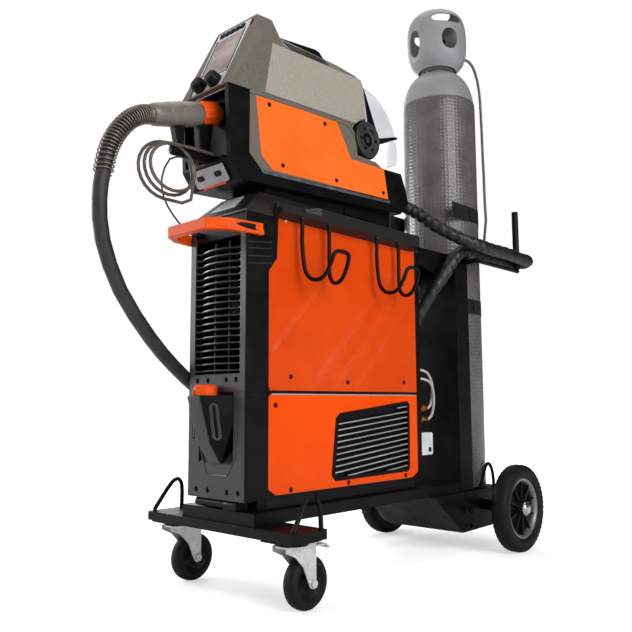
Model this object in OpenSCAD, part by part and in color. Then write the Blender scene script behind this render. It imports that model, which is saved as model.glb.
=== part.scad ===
// Water-cooled MIG welder on a four-wheel cart, with a wire feeder on top and a
// gas cylinder behind. X runs from the front to the rear, the near side is -Y.

/* [Power source and cooler] */
// Width across the side panels
body_w = 192; // [180:2:210]
// Front face to the rear edge of the casings
body_l = 640; // [600:10:700]
// Height of the cooler casing
cooler_h = 228; // [210:2:250]
// Height of the power source casing up to the roof
power_h = 392; // [370:2:420]
// Height of the faceted roof
roof_h = 61; // [50:1:70]
// Height of the rubber feet under the cooler
foot_h = 21; // [15:1:30]
// Wall of the plastic casings
shell_t = 3; // [2:0.5:4]
// Thickness of the painted side panels
panel_t = 2; // [1.5:0.5:3]
// Front edge of the side panels behind the front face
panel_x = 67; // [55:1:80]
// Bars in the front grille
slat_n = 19; // [14:1:22]
// Reach of the front handle ahead of the front face
handle_reach = 88; // [80:1:100]
// Height of the handle bar
handle_h = 33; // [26:1:38]
// Outward reach of the side rails from the panels
rail_out = 32; // [28:1:36]
// Rod of the cable hooks
hook_d = 8; // [6:1:10]

/* [Cart] */
// Front caster axle to rear axle
wheel_base = 820; // [800:5:860]
// Floor to the underside of the front crossmember
caster_h = 145; // [140:1:155]
// Depth of the welded deck beams
beam_h = 20; // [16:1:24]
// Length of the front crossmember across the cart
beam_w = 482; // [470:2:500]
// Width across the tray rails
tray_w = 240; // [236:2:246]
// Section height of a tray rail
rail_h = 26; // [20:1:30]
// Section width of a tray rail
rail_w = 39; // [34:1:40]
// Distance between the two swivel axes
caster_track = 376; // [368:2:384]
// Trail from a swivel axis to its wheel axle
caster_trail = 40; // [38:1:44]
// Caster wheel diameter
caster_d = 110; // [100:2:112]
// Caster wheel width
caster_w = 32; // [28:1:34]
// Rear wheel diameter
wheel_d = 240; // [230:2:250]
// Rear wheel width
wheel_w = 48; // [40:1:54]
// Distance between the rear wheel centres
wheel_track = 466; // [460:2:480]
// Rear axle diameter
axle_d = 20; // [16:1:24]
// Spokes of a rear wheel
spoke_n = 10; // [8:1:12]

/* [Gas cylinder] */
// Outside diameter of the cylinder
cyl_d = 228; // [220:1:230]
// Height of the straight wall
cyl_wall_h = 1175; // [1100:5:1200]
// Height of the domed shoulder
cyl_dome_h = 130; // [110:2:150]
// Outside diameter of the valve guard
guard_d = 190; // [170:2:200]
// Height of the valve guard
guard_h = 208; // [200:2:220]

/* [Wire feeder] */
// Width of the feeder
feeder_w = 170; // [164:2:180]
// Nose-down tilt of the feeder
feeder_tilt = 3; // [2:0.5:4]
// Hinge and spool axis behind the feeder's datum
hub_u = 438; // [434:1:442]
// Hinge and spool axis above the feeder's datum
hub_w = 183; // [181:1:186]
// Outside radius of the frosted spool cover
drum_r = 152; // [146:1:153]
// Diameter of the round hinge covers
hub_d = 96; // [90:1:100]
// Control pad length along its slope
pad_l = 200; // [195:1:205]
// Control pad width
pad_w = 116; // [108:2:124]
// Diameter of the two pad knobs
knob_d = 34; // [30:1:36]

/* [Gun and cables] */
// Diameter of the gun cable
gun_d = 31; // [28:1:32]
// Diameter of the locking nut
nut_d = 58; // [54:1:60]
// Wire of the bend-relief spring
spring_wire = 4; // [3:0.5:4.5]
// Turns of the bend-relief spring
spring_n = 16; // [12:1:18]
// Radius of the hung coil of gun cable
coil_r = 178; // [170:2:184]
// Diameter of the looped control cable
control_d = 7; // [6:0.5:8]
// Diameter of the sense cable
sense_d = 4; // [3.5:0.5:5]
// Diameter of the gas hose
gas_d = 9; // [8:0.5:10]
// Diameter of the sleeved cable bundle
bundle_d = 38; // [34:1:40]

/* [Hidden] */
$fn = 48;

// Clearances
gap = 0.3;            // between parts that pass each other
run = 0.05;           // radial running clearance of a bore

// Heights above the floor
deck_z = caster_h + beam_h;
rail_z = deck_z + rail_h;
body_z = rail_z + foot_h;
seam_z = body_z + cooler_h;
roof_z = seam_z + power_h;
ridge_z = roof_z + roof_h;
half_w = body_w / 2;
skin_y = half_w - panel_t;

// Front to rear stations, measured from the front face of the machine
caster_x = 85;
swivel_x = caster_x - caster_trail;
axle_x = caster_x + wheel_base;
cyl_x = axle_x;
beam_x0 = -5;
beam_l = 98;
tray_x0 = 5;
upright_x = cyl_x - cyl_d / 2 - 1;
tray_x1 = upright_x - 3;
arm_x = 1064;
arm_y = -173;
arm_z = 826;
loop_r = 30;
rear_reach = arm_x + loop_r + bundle_d / 2 + 2;
origin_x = (rear_reach - handle_reach) / 2;

// ---------- shared shapes ----------

module place() { translate([-origin_x, 0, 0]) children(); }

module both_sides() {
    children();
    mirror([0, 1, 0]) children();
}

module box(x0, x1, y0, y1, z0, z1) {
    translate([x0, y0, z0]) cube([x1 - x0, y1 - y0, z1 - z0]);
}

// Outline drawn in X and Z, thick from y0 to y1
module side_prism(pts, y0, y1) {
    translate([0, y1, 0]) rotate([90, 0, 0]) linear_extrude(y1 - y0) polygon(pts);
}

// Round bar along Y
module y_rod(d, y0, y1) { translate([0, y1, 0]) rotate([90, 0, 0]) cylinder(d = d, h = y1 - y0); }

// Round bar along X
module x_rod(d, x0, x1) { translate([x0, 0, 0]) rotate([0, 90, 0]) cylinder(d = d, h = x1 - x0); }

// Rectangle with cut corners
function unit(v) = v / norm(v);
function tangents(p) = [for (i = [0:len(p) - 1])
    unit(p[min(i + 1, len(p) - 1)] - p[max(i - 1, 0)])];
function carried(v, t) = unit(v - (v * t) * t);
function normals(t) = [for (i = 0, v = carried([0.31, 0.27, 0.91], t[0]); i < len(t);
    i = i + 1, v = carried(v, t[min(i, len(t) - 1)])) v];

// Smooth curve through hand-chosen points, n steps between two of them
function curve(p, n) = [for (i = [0:len(p) - 2]) for (k = [0:n - 1])
    let (a = p[max(i - 1, 0)], b = p[i], c = p[i + 1], d = p[min(i + 2, len(p) - 1)], u = k / n)
    0.5 * (2 * b + (c - a) * u + (2 * a - 5 * b + 4 * c - d) * u * u
        + (3 * b - a - 3 * c + d) * u * u * u), p[len(p) - 1]];

// The same curve between the second point and the last but one, with straight ends
function led(p, n) = concat([p[0]], curve([for (i = [1:len(p) - 2]) p[i]], n), [p[len(p) - 1]]);

// Round tube swept along the points, all faces triangles
module tube(p, r, sides = 8) {
    t = tangents(p);
    n = normals(t);
    m = len(p);
    rings = [for (i = [0:m - 1]) for (k = [0:sides - 1])
        let (a = 360 * k / sides) p[i] + r * (cos(a) * n[i] + sin(a) * cross(t[i], n[i]))];
    walls = [for (i = [0:m - 2]) for (k = [0:sides - 1])
        let (a = i * sides + k, b = i * sides + (k + 1) % sides)
        each [[a, a + sides, b], [b, a + sides, b + sides]]];
    caps = [for (k = [1:sides - 2]) each [[0, k, k + 1],
        [(m - 1) * sides, (m - 1) * sides + k + 1, (m - 1) * sides + k]]];
    polyhedron(concat(rings, [p[0]]), concat(walls, caps), convexity = 6);
}

function path_length(p) = len(p) < 2 ? 0 :
    [for (i = 1, s = norm(p[1] - p[0]); i < len(p); i = i + 1,
        s = s + (i < len(p) ? norm(p[i] - p[i - 1]) : 0)) s][len(p) - 2];

// Least distance between turns of a wound tube, skipping its own next rings
function least_gap(p, skip, d) = min([for (i = [0:len(p) - 1]) for (j = [i + skip:1:len(p) - 1])
    norm(p[i] - p[j])]) - d;

// ---------- cart ----------

loop_path = [[8, 232, 0], [8, 232, 5], [30, 229, 36], [50, 226, 62], [66, 226, 70], [78, 227, 62],
    [84, 230, 40], [85, 232, 5], [85, 232, 0]];
rear_loop_path = [for (p = loop_path) [p[0] + axle_x - 25, p[1] - 108, p[2]]];
rod_d = 10;

module cart_frame() color("#1b1b1d") place() {
    foot = tray_w / 2 - rail_w;
    difference() {
        box(tray_x0, tray_x1, -tray_w / 2, tray_w / 2, deck_z, rail_z);
        for (x = [[tray_x0 + rail_w, 290], [314, 520], [544, tray_x1 - rail_w]])
            box(x[0], x[1], -foot, foot, deck_z - 1, rail_z + 1);
    }
    both_sides() {
        translate([0, 0, deck_z]) tube(led(loop_path, 2), rod_d / 2);
        translate([0, 0, deck_z]) tube(led(rear_loop_path, 2), rod_d / 2);
    }
}

lip_w = 17;
sheet = 3;

module caster_plate() {
    x0 = swivel_x - 46;
    box(x0, x0 + 92, caster_track / 2 - 42, caster_track / 2 + 42, caster_h - 4, caster_h);
    translate([swivel_x, caster_track / 2, caster_h - 10]) cylinder(d = 64, h = 6);
    translate([swivel_x, caster_track / 2, caster_h - 16]) cylinder(d = kingpin_d, h = 6);
    translate([swivel_x, caster_track / 2, caster_h - 19]) cylinder(d = 22, h = 4);
}
kingpin_d = 12;

module front_crossmember() color("#2b2a2a") place() {
    x1 = beam_x0 + beam_l;
    difference() {
        box(beam_x0, x1, -beam_w / 2, beam_w / 2, caster_h, deck_z);
        box(beam_x0 + sheet, x1 - sheet, -beam_w / 2 + sheet, beam_w / 2 - sheet,
            caster_h + sheet, deck_z - sheet);
        box(beam_x0 + lip_w, x1 - lip_w, -beam_w / 2 + sheet, beam_w / 2 - sheet,
            caster_h - 1, deck_z - sheet);
    }
    both_sides() caster_plate();
}

bracket_y = 129;
bracket_z = 55;
bracket_x0 = 645;
bracket_x1 = axle_x + 120;
side_t = 4;

module axle_bracket() color("#19191b") place() {
    z1 = deck_z - side_t;
    difference() {
        both_sides() side_prism([[bracket_x0, z1], [bracket_x0 + 135, bracket_z],
            [bracket_x1 - 50, bracket_z + 4], [bracket_x1, z1]], bracket_y - side_t, bracket_y);
        translate([axle_x, 0, wheel_d / 2]) y_rod(axle_d + 2 * run, -bracket_y - 1, bracket_y + 1);
    }
    side_prism([[bracket_x0, z1], [bracket_x0 + 135, bracket_z], [bracket_x0 + 140, bracket_z + 4],
        [bracket_x0 + 9, z1]], -bracket_y + side_t, bracket_y - side_t);
    box(bracket_x0, bracket_x1, -bracket_y, bracket_y, z1, deck_z);
    translate([axle_x, 0, wheel_d / 2]) {
        y_rod(axle_d, -wheel_out - 8, wheel_out + 8);
        both_sides() difference() {
            y_rod(axle_d + 10, bracket_y, wheel_in - gap);
            y_rod(axle_d + 2 * run, bracket_y - 1, wheel_in);
        }
        both_sides() difference() {
            y_rod(axle_d + 10, wheel_out + gap, wheel_out + 7);
            y_rod(axle_d + 2 * run, wheel_out, wheel_out + 6);
        }
    }
}
wheel_in = wheel_track / 2 - wheel_w / 2;
wheel_out = wheel_track / 2 + wheel_w / 2;

upright_y = 122;
bracket_top = 850;

module cylinder_upright() color("#141416") place() {
    box(upright_x - 3, upright_x, -upright_y, upright_y, deck_z, bracket_top);
    both_sides() box(upright_x, upright_x + 62, upright_y - 3, upright_y, deck_z, bracket_top);
    both_sides() side_prism([[body_l, 800], [upright_x - 3, 770], [upright_x - 3, bracket_top],
        [body_l, bracket_top]], half_w - 3, half_w);
    box(body_l, upright_x - 3, -half_w + 3, half_w - 3, bracket_top - 3, bracket_top);
    translate([0, 0, arm_z]) {
        translate([upright_x + 30, 0, 0]) y_rod(arm_d, arm_y - arm_d / 2, -upright_y + 2);
        translate([0, arm_y, 0]) x_rod(arm_d - 2, upright_x + 30, arm_x + 6);
    }
    translate([arm_x, arm_y, arm_z + arm_d / 2 - 1]) cylinder(d = pin_d, h = 184);
}
arm_d = 14;
pin_d = 20;
strap_t = 2.4;
strap_h = 44;
strap_zs = [680, 965];

// Belts that run from the upright's plate around the cylinder, with a buckle
module cylinder_straps() color("#2c2d30") place() {
    ri = cyl_d / 2 + 0.2;
    ro = ri + strap_t;
    translate([cyl_x, 0, 0]) for (z = strap_zs) translate([0, 0, z]) {
        linear_extrude(strap_h) difference() {
            union() {
                circle(r = ro, $fn = 96);
                translate([upright_x - cyl_x, -ro]) square([cyl_x - upright_x, 2 * ro]);
            }
            circle(r = ri, $fn = 96);
            translate([upright_x - cyl_x - 1, -ri]) square([cyl_x - upright_x + 1, 2 * ri]);
            translate([-ro - 1, -ro - 1]) square([ro + 1 - cyl_x + upright_x, 2 * ro + 2]);
        }
        box(-20, 20, -ro - 6, -ro, 4, strap_h - 4);
    }
}

// ---------- casters and wheels ----------

fork_top = 134.7;
leg_y = caster_w / 2 + 2;
leg_pts = [[-34, 134.7], [-34, 124], [-8, 112], [14, 90], [27, 60], [32, 50], [40, 46], [48, 50],
    [51, 60], [51, 116], [51, 134.7]];

module caster_fork(side) color("#c9cbce") place() translate([swivel_x, side * caster_track / 2, 0]) {
    lift = caster_h - 145;
    difference() {
        translate([0, 0, fork_top - 4 + lift]) cylinder(d = 68, h = 4);
        translate([0, 0, fork_top - 5 + lift]) cylinder(d = kingpin_d + 2 * run, h = 6);
    }
    difference() {
        for (y = [-1, 1]) side_prism([for (p = leg_pts) [p[0] * caster_trail / 40,
            p[1] > 60 ? p[1] + lift : p[1]]], y > 0 ? leg_y : -leg_y - 2.5, y > 0 ? leg_y + 2.5 : -leg_y);
        translate([caster_trail, 0, caster_d / 2]) y_rod(bolt_d, -30, 30);
    }
    translate([caster_trail, 0, caster_d / 2]) {
        y_rod(bolt_d, -leg_y - 8, leg_y + 8);
        both_sides() translate([0, leg_y + 2.5, 0]) rotate([-90, 0, 0])
            difference() { cylinder(d = 17, h = 6, $fn = 6); cylinder(d = bolt_d, h = 6); }
    }
    if (side < 0) translate([pedal_x, 0, pedal_z]) y_rod(pedal_pin, -leg_y, leg_y);
}
bolt_d = 10;
pedal_x = 44;
pedal_z = caster_h - 23;
pedal_pin = 5;

module caster_fork_near() { caster_fork(-1); }
module caster_fork_far() { caster_fork(1); }

module caster_wheel(side) place()
    translate([swivel_x + caster_trail, side * caster_track / 2, caster_d / 2]) rotate([90, 0, 0]) {
        r = caster_d / 2;
        h = caster_w / 2;
        color("#26262a") rotate_extrude($fn = 72) polygon([[r - 17, -h + 4], [r - 9, -h], [r - 3, -h + 5],
            [r, -h + 11], [r, h - 11], [r - 3, h - 5], [r - 9, h], [r - 17, h - 4]]);
        color("#101012") rotate_extrude($fn = 72) polygon([[bolt_d / 2 + run, -h], [11, -h], [13, -5],
            [r - 17, -5], [r - 17, 5], [13, 5], [11, h], [bolt_d / 2 + run, h]]);
    }

module caster_wheel_near() { caster_wheel(-1); }
module caster_wheel_far() { caster_wheel(1); }

module brake_pedal() color("#b9bcc0") place()
    translate([swivel_x + pedal_x, -caster_track / 2, pedal_z]) difference() {
        union() {
            y_rod(10, -leg_y + 1, leg_y - 1);
            box(0, 46, -14, 14, 2, 5);
            side_prism([[42, 5], [46, 5], [56, -4], [53, -6]], -14, 14);
        }
        y_rod(pedal_pin + 2 * run, -leg_y, leg_y);
    }

rim_r = 82;

module rear_wheel(side) place() translate([axle_x, side * wheel_track / 2, wheel_d / 2])
    rotate([90, 0, 0]) {
        r = wheel_d / 2;
        h = wheel_w / 2;
        color("#2a2a2c") rotate_extrude($fn = 96) polygon([[rim_r, -h + 8], [rim_r + 4, -h + 3],
            [rim_r + 12, -h], [r - 14, -h], [r - 4, -h + 6], [r, -h + 15], [r, h - 15], [r - 4, h - 6],
            [r - 14, h], [rim_r + 12, h], [rim_r + 4, h - 3], [rim_r, h - 8]]);
        color("#151517") rotate_extrude($fn = 96) polygon([[rim_r, -h + 8], [rim_r, h - 8],
            [rim_r - 6, h - 8], [rim_r - 10, 4], [24, 4], [20, h], [axle_d / 2 + run, h],
            [axle_d / 2 + run, -h], [20, -h], [24, -4], [rim_r - 10, -4], [rim_r - 6, -h + 8]]);
        for (k = [0:spoke_n - 1], f = [-1, 1]) color("#1d1d1f") rotate([0, 0, 360 * k / spoke_n])
            translate([19, -1.5, f > 0 ? 3 : -13]) cube([rim_r - 23, 3, 10]);
    }

module rear_wheel_near() { rear_wheel(-1); }
module rear_wheel_far() { rear_wheel(1); }

// ---------- fasteners ----------

power_screws = [[135, 475], [330, 466], [body_l - 80, 470]];
cooler_screws = [[88, 412], [135, 227], [330, 227], [body_l - 80, 227]];
feeder_screws = [[84, 190], [273, 189], [121, 55], [308, 52], [498, 50]];
screw_d = 10;

module fasteners() color("#0f0f10") {
    place() {
        both_sides() for (p = concat(power_screws, cooler_screws))
            translate([p[0], 0, p[1] - 440 + seam_z]) y_rod(screw_d, half_w, half_w + 2);
        both_sides() for (p = [[axle_x - 90, 112], [axle_x - 88, 68]])
            translate([p[0], 0, p[1]]) rotate([-90, 0, 0]) translate([0, 0, bracket_y])
                cylinder(d = 13, h = 6, $fn = 6);
    }
    on_feeder() both_sides() for (p = feeder_screws)
        translate([p[0], 0, p[1]]) y_rod(screw_d, feeder_w / 2 + panel_t, feeder_w / 2 + panel_t + 2);
}

// ---------- cooler ----------

module cooler_case() color("#111112") place() {
    difference() {
        box(4, body_l, -skin_y, skin_y, body_z, seam_z);
        box(4 + shell_t, body_l + 1, -skin_y + shell_t, skin_y - shell_t, body_z + shell_t,
            seam_z - shell_t);
        box(-1, 60, -tank_y - 1, tank_y + 1, tank_z0 - 1, tank_z1 + 1);
        both_sides() side_prism(grille_pts(6), skin_y - shell_t - 1, skin_y + 1);
    }
    both_sides() box(0, panel_x, skin_y, half_w, body_z, seam_z);
    both_sides() for (x = [40, 560]) box(x, x + 50, 60, 90, rail_z, body_z);
}

grille_x0 = body_l - 370;
grille_x1 = body_l - 60;
grille_z0 = seam_z - 206;
grille_z1 = seam_z - 20;
// Outline of the intake, whose top edge rises to the rear
function grille_pts(inset) = let (i = inset) [[grille_x0 + 14 + i / 2, grille_z0 + i],
    [grille_x1 - 10 - i / 2, grille_z0 + 3 + i], [grille_x1 - 2 - i, grille_z0 + 12 + i / 2],
    [grille_x1 - i, grille_z1 - 8 - 0.6 * i], [grille_x1 - 10 - i / 2, grille_z1 - 1.1 * i],
    [grille_x0 + 32 + 0.3 * i, grille_z0 + 158 - 1.1 * i], [grille_x0 + 16 + 0.9 * i, grille_z0 + 146 - i / 2],
    [grille_x0 + i, grille_z0 + 13 + i / 2]];

module cooler_front() color("#4a4a4c") place() difference() {
    box(0, 4, -skin_y, skin_y, body_z, seam_z - gap);
    box(-1, 5, -tank_y - gap, tank_y + gap, tank_z0 - gap, seam_z);
    for (y = [-75, -39, 26, 66]) translate([0, y, body_z + 17]) x_rod(12, -1, 5);
}

module cooler_side_panels() color("#f25c0f") place() both_sides() difference() {
    x1 = body_l - 23;
    z0 = body_z + 7;
    z1 = seam_z - 5;
    side_prism([[panel_x + 22, z0], [x1 - 26, z0], [x1, z0 + 14], [x1, z1], [panel_x + 4, z1],
        [panel_x, z1 - 8], [panel_x, z0 + 14]], skin_y, half_w);
    side_prism(grille_pts(0), skin_y - 1, half_w + 1);
}

module cooler_grilles() color("#0e0e10") place() both_sides() {
    difference() {
        side_prism(grille_pts(0.2), skin_y, half_w + 3);
        side_prism(grille_pts(10), skin_y - 1, half_w + 4);
    }
    rise = (grille_x1 - grille_x0 - 20) * 0.09;
    intersection() {
        side_prism(grille_pts(9.5), skin_y, half_w + 2);
        for (k = [-2:12]) {
            z = grille_z0 + 8 + k * 14;
            side_prism([[grille_x0, z], [grille_x1, z + rise], [grille_x1, z + rise + 4],
                [grille_x0, z + 4]], skin_y, half_w + 2);
        }
    }
}

tank_y = 58;
tank_nose = 21;
tank_reach = 60;
tank_z0 = seam_z - 152;
tank_z1 = seam_z - 7;

// Filler bucket: a wedge whose narrow nose leans in towards the bottom
module coolant_tank() color("#555557") place() difference() {
    hull() {
        box(-0.5, 60, -tank_y, tank_y, tank_z1 - 60, tank_z1);
        box(-tank_reach, 0, -tank_nose, tank_nose, tank_z1 - 6, tank_z1);
        box(-tank_reach / 2, 0, -tank_nose, tank_nose, tank_z0 + 42, tank_z1);
        box(-1, 50, -tank_nose, tank_nose, tank_z0, tank_z1);
    }
    box(8, 54, -tank_nose, tank_nose, tank_z0 + 8, tank_z1 - 6);
    translate([cap_x, 0, tank_z1 - 40]) cylinder(d = neck_bore, h = 41);
}
neck_bore = 30;
cap_d = 50;
cap_x = -30;

module filler_cap() color("#f4621a") place() translate([cap_x, 0, tank_z1 + gap]) {
    cylinder(d = cap_d, h = 18);
    translate([0, 0, 18]) cylinder(d1 = cap_d, d2 = cap_d - 10, h = 5);
    for (y = [-9, 5]) translate([-cap_d / 2 - 2.5, y, 0]) cube([6, 4, 12]);
    translate([cap_d / 2 - 5, -7, 8]) cube([7.5, 14, 10]);
}

module coolant_circuit() color("#9aa0a5") place() {
    // fin block between two tanks
    both_sides() box(grille_x0 + 20, grille_x1 - 20, 62, 84, body_z + shell_t, seam_z - 20);
    // pump and its foot
    translate([140, 0, body_z + 70]) x_rod(70, 0, 95);
    box(150, 225, -30, 30, body_z + shell_t, body_z + 40);
    // fan motor on the far fin block
    translate([fan_x, 0, fan_z]) {
        y_rod(44, 12.5, 62);
        y_rod(fan_shaft, -14, 12.5);
    }
}
fan_x = 430;
fan_z = body_z + 110;
fan_shaft = 8;

fan_hub_d = 40;

module fan(d, blades) {
    difference() {
        union() {
            y_rod(fan_hub_d, -12, 12);
            for (k = [0:blades - 1]) rotate([0, 360 * k / blades, 0])
                translate([0, 0, d / 4 + fan_hub_d / 4 - 1]) rotate([0, 0, 28])
                    cube([26, 2, d / 2 - fan_hub_d / 2], center = true);
        }
        y_rod(fan_shaft + 2 * run, -20, 20);
    }
}

module cooler_fan() color("#1a1a1c") place() translate([fan_x, 0, fan_z]) fan(120, 7);

// ---------- power source ----------

module power_case() color("#111112") place() {
    difference() {
        box(4, body_l, -skin_y, skin_y, seam_z, roof_z);
        box(4 + shell_t, body_l + 1, -skin_y + shell_t, skin_y - shell_t, seam_z + shell_t,
            roof_z - shell_t);
        box(-1, 5 + shell_t, -grille_y, grille_y, seam_z + 40, roof_z - 50);
    }
    both_sides() difference() {
        side_prism([[0, seam_z + gap], [panel_x, seam_z + gap], [panel_x, 708 - 440 + seam_z],
            [91, roof_z - 94], [95, roof_z], [0, roof_z]], skin_y, half_w);
        for (k = [0:3]) box(10, 74, half_w - 0.8, half_w + 1, roof_z - 84 + 15 * k, roof_z - 82 + 15 * k);
    }
}
grille_y = 78;

module power_side_panels() color("#f25c0f") place() both_sides()
    side_prism([[panel_x + 4, seam_z + 4], [body_l - 23, seam_z + 4], [body_l - 23, roof_z],
        [96, roof_z], [92, roof_z - 94 - gap], [panel_x + gap, 708 - 440 + seam_z - 1],
        [panel_x + gap, seam_z + 14]], skin_y, half_w);

module front_grille() color("#4c4c4e") place() {
    z0 = seam_z + 40;
    z1 = roof_z - 62;
    both_sides() box(0, 4, grille_y, skin_y, seam_z + gap, roof_z - 30);
    difference() {
        box(0, 4, -grille_y, grille_y, seam_z + gap, z0);
        for (y = [-66, -33, 29, 66]) translate([0, y, seam_z + 27]) x_rod(12, -1, 5);
    }
    for (k = [0:slat_n - 1]) translate([0, 0, z0 + 6 + k * (z1 - z0 - 6) / slat_n]) slat();
    both_sides() box(14, 18, 22, 26, z0, z1 + 8);
}

// A grille bar that bows forward between two short straight ends
module slat() {
    bow = 120;
    translate([bow - 10, 0, 0]) intersection() {
        difference() {
            cylinder(r = bow, h = 3, $fn = 120);
            translate([0, 0, -1]) cylinder(r = bow - 24, h = 5, $fn = 120);
        }
        translate([-bow - 1, -62, 0]) cube([40, 124, 3]);
    }
    both_sides() linear_extrude(3) polygon([[7, 61.9], [0.2, grille_y], [14, grille_y], [14, 61.9]]);
}

handle_z = roof_z - 35;
arm_t = 16;

module front_handle() color("#f4621a") place() {
    difference() {
        linear_extrude_z(handle_z - handle_h / 2, handle_h) polygon(concat(
            [[44, -half_w - 14], [-50, -half_w + 2], [-handle_reach, -66], [-handle_reach, 66],
             [-50, half_w - 2], [44, half_w + 14]],
            [[44, half_w + 0.3], [-2, half_w + 0.3], [-42, half_w - 18], [-handle_reach + arm_t, 58],
             [-handle_reach + arm_t, -58], [-42, -half_w + 18], [-2, -half_w - 0.3],
             [44, -half_w - 0.3]]));
        both_sides() box(-28, 22, half_w - 20, half_w + 30, handle_z - 5, handle_z + 6);
    }
    color("#161618") both_sides() translate([52, 0, handle_z]) difference() {
        y_rod(30, half_w, half_w + 13);
        box(-20, -8, half_w - 1, half_w + 20, -20, 20);
    }
}

module linear_extrude_z(z, h) { translate([0, 0, z]) linear_extrude(h) children(); }

module top_cover() color("#3a3a3b") place() difference() {
    hull() {
        box(0, body_l, -half_w, half_w, roof_z, roof_z + 4);
        box(62, body_l - 10, -64, 64, ridge_z - 1, ridge_z);
    }
    // sloping recess for the rating plate
    translate([6, -44, roof_z + 6]) rotate([0, -32, 0]) cube([90, 88, 40]);
    box(30, body_l - 30, -60, 60, roof_z - 1, roof_z + 30);
}

module rear_panel() color("#1d1d1f") place() {
    difference() {
        box(body_l - 30, body_l - 26, -skin_y + shell_t, skin_y - shell_t, seam_z + shell_t,
            roof_z - shell_t);
        translate([0, switch_y, switch_z]) x_rod(12 + 2 * run, body_l - 31, body_l - 25);
    }
    // open sockets, and the boss where the cable bundle ends
    for (p = [[-60, 80], [30, 80], [30, 130]]) translate([0, p[0], seam_z + p[1]]) difference() {
        x_rod(32, body_l - 25.8, body_l + 6);
        x_rod(20, body_l - 10, body_l + 7);
    }
    translate([0, bundle_end_y, 570]) x_rod(bundle_d + 4, body_l - 25.8, body_l + 6);
    box(body_l - 30, body_l - 26, -skin_y + shell_t, skin_y - shell_t, body_z + shell_t,
        seam_z - shell_t);
    translate([0, gas_in[1], gas_in[2]]) x_rod(14, body_l - 25.8, gas_in[0]);
    // quick couplings of the coolant lines
    for (y = [-62, -36]) translate([0, y, 400 - 440 + seam_z]) x_rod(16, body_l - 25.8, body_l + 26);
}
switch_y = 0;
switch_z = seam_z + 280;

module main_switch() color("#b01c16") place() translate([0, switch_y, switch_z]) {
    x_rod(12, body_l - 40, body_l - 25.7);
    x_rod(46, body_l - 25.7, body_l - 18);
    box(body_l - 18, body_l - 6, -6, 6, -21, 21);
}

module power_modules() color("#7f8a80") place() {
    box(140, 300, -70, 70, seam_z + shell_t, seam_z + 150);
    for (k = [0:8]) box(330, 560, -72 + 17 * k, -69 + 17 * k, seam_z + 20, seam_z + 150);
    box(330, 560, -74, 74, seam_z + shell_t, seam_z + 20);
    box(120, 580, -76, 76, seam_z + 230, seam_z + 233);
    for (x = [200, 500]) both_sides() box(x, x + 8, 68, 69.8, seam_z + 150, seam_z + 230);
    // fan motor on its bracket
    box(140, 146, -30, 30, seam_z + 150, seam_z + 215);
    translate([0, 0, main_fan_z]) {
        x_rod(44, 72.5, 140);
        x_rod(fan_shaft, 46, 72.5);
    }
}
main_fan_z = seam_z + 190;

module main_fan() color("#1a1a1c") place() translate([60, 0, main_fan_z])
    rotate([0, 0, 90]) fan(138, 7);

rail_x0 = 80;
rail_x1 = 600;

module side_rails() color("#19191a") place() both_sides() {
    z = roof_z + 8;
    difference() {
        translate([rail_x0, 0, 0]) rotate([90, 0, 90]) linear_extrude(rail_x1 - rail_x0)
            polygon([[half_w + 0.2, z - 10], [half_w + rail_out, z - 2], [half_w + rail_out, z + 27],
                [half_w + rail_out - 3, z + 29], [half_w + 0.2, z + 20]]);
        // slimmer bracket at the front end
        translate([0, 0, z + 10]) linear_extrude(40) polygon([[rail_x0 - 1, half_w + 12],
            [rail_x0 + 90, half_w + 14], [rail_x0 + 128, half_w + rail_out + 1],
            [rail_x0 - 1, half_w + rail_out + 1]]);
    }
    // bosses that hold the hooks' legs
    for (x = hook_xs) for (f = [-hook_half, hook_half])
        translate([x + f, half_w + hook_in, roof_z + 1]) cylinder(d = hook_d + 8, h = 8);
}

hook_xs = [196, 470];
hook_half = 46;
hook_in = 22;
hook_path = [[-hook_half, hook_in, 1], [-hook_half, hook_in, -8], [-hook_half, hook_in, -60], [-40, 25, -113], [-33, 38, -134],
    [-26, 56, -140], [-21, 76, -132], [-18, 94, -108], [-16, 102, -88], [-8, 104, -80], [8, 104, -80],
    [16, 102, -88], [18, 94, -108], [21, 76, -132], [26, 56, -140], [33, 38, -134], [40, 25, -113],
    [hook_half, hook_in, -60], [hook_half, hook_in, -8], [hook_half, hook_in, 1]];

module cable_hooks() color("#121214") place() both_sides() for (x = hook_xs)
    translate([x, half_w, roof_z]) tube(led(hook_path, 2), hook_d / 2);

// ---------- wire feeder, drawn level and tilted as one ----------

feeder_z = 900 - 893 + ridge_z;
module on_feeder() { place() translate([0, 0, feeder_z]) rotate([0, -feeder_tilt, 0]) children(); }

cheek = feeder_w / 2;
base_top = 212;
base_pts = [[-35, base_top], [-35, 45], [-7, 3], [575, 3], [614, 36], [607, 70], [586, 118],
    [460, 118], [372, base_top]];
panel_pts = [[45, 202], [320, 206], [369, 118], [506, 116], [519, 36], [89, 38], [55, 67]];
inner_pts = [[12, base_top + 1], [12, 12], [560, 12], [590, 40], [572, 114], [372, base_top + 1]];

module feeder_mount() color("#232325") place() {
    x0 = 90;
    x1 = 560;
    side_prism([[x0, ridge_z], [x1, ridge_z],
        [x1, feeder_z + 2.8 + (x1) * tan(feeder_tilt)], [x0, feeder_z + 2.8 + x0 * tan(feeder_tilt)]],
        -58, 58);
    box(364, 478, -64, -58, ridge_z + 4, ridge_z + 22);
    box(364, 478, 58, 64, ridge_z + 4, ridge_z + 22);
}

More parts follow.
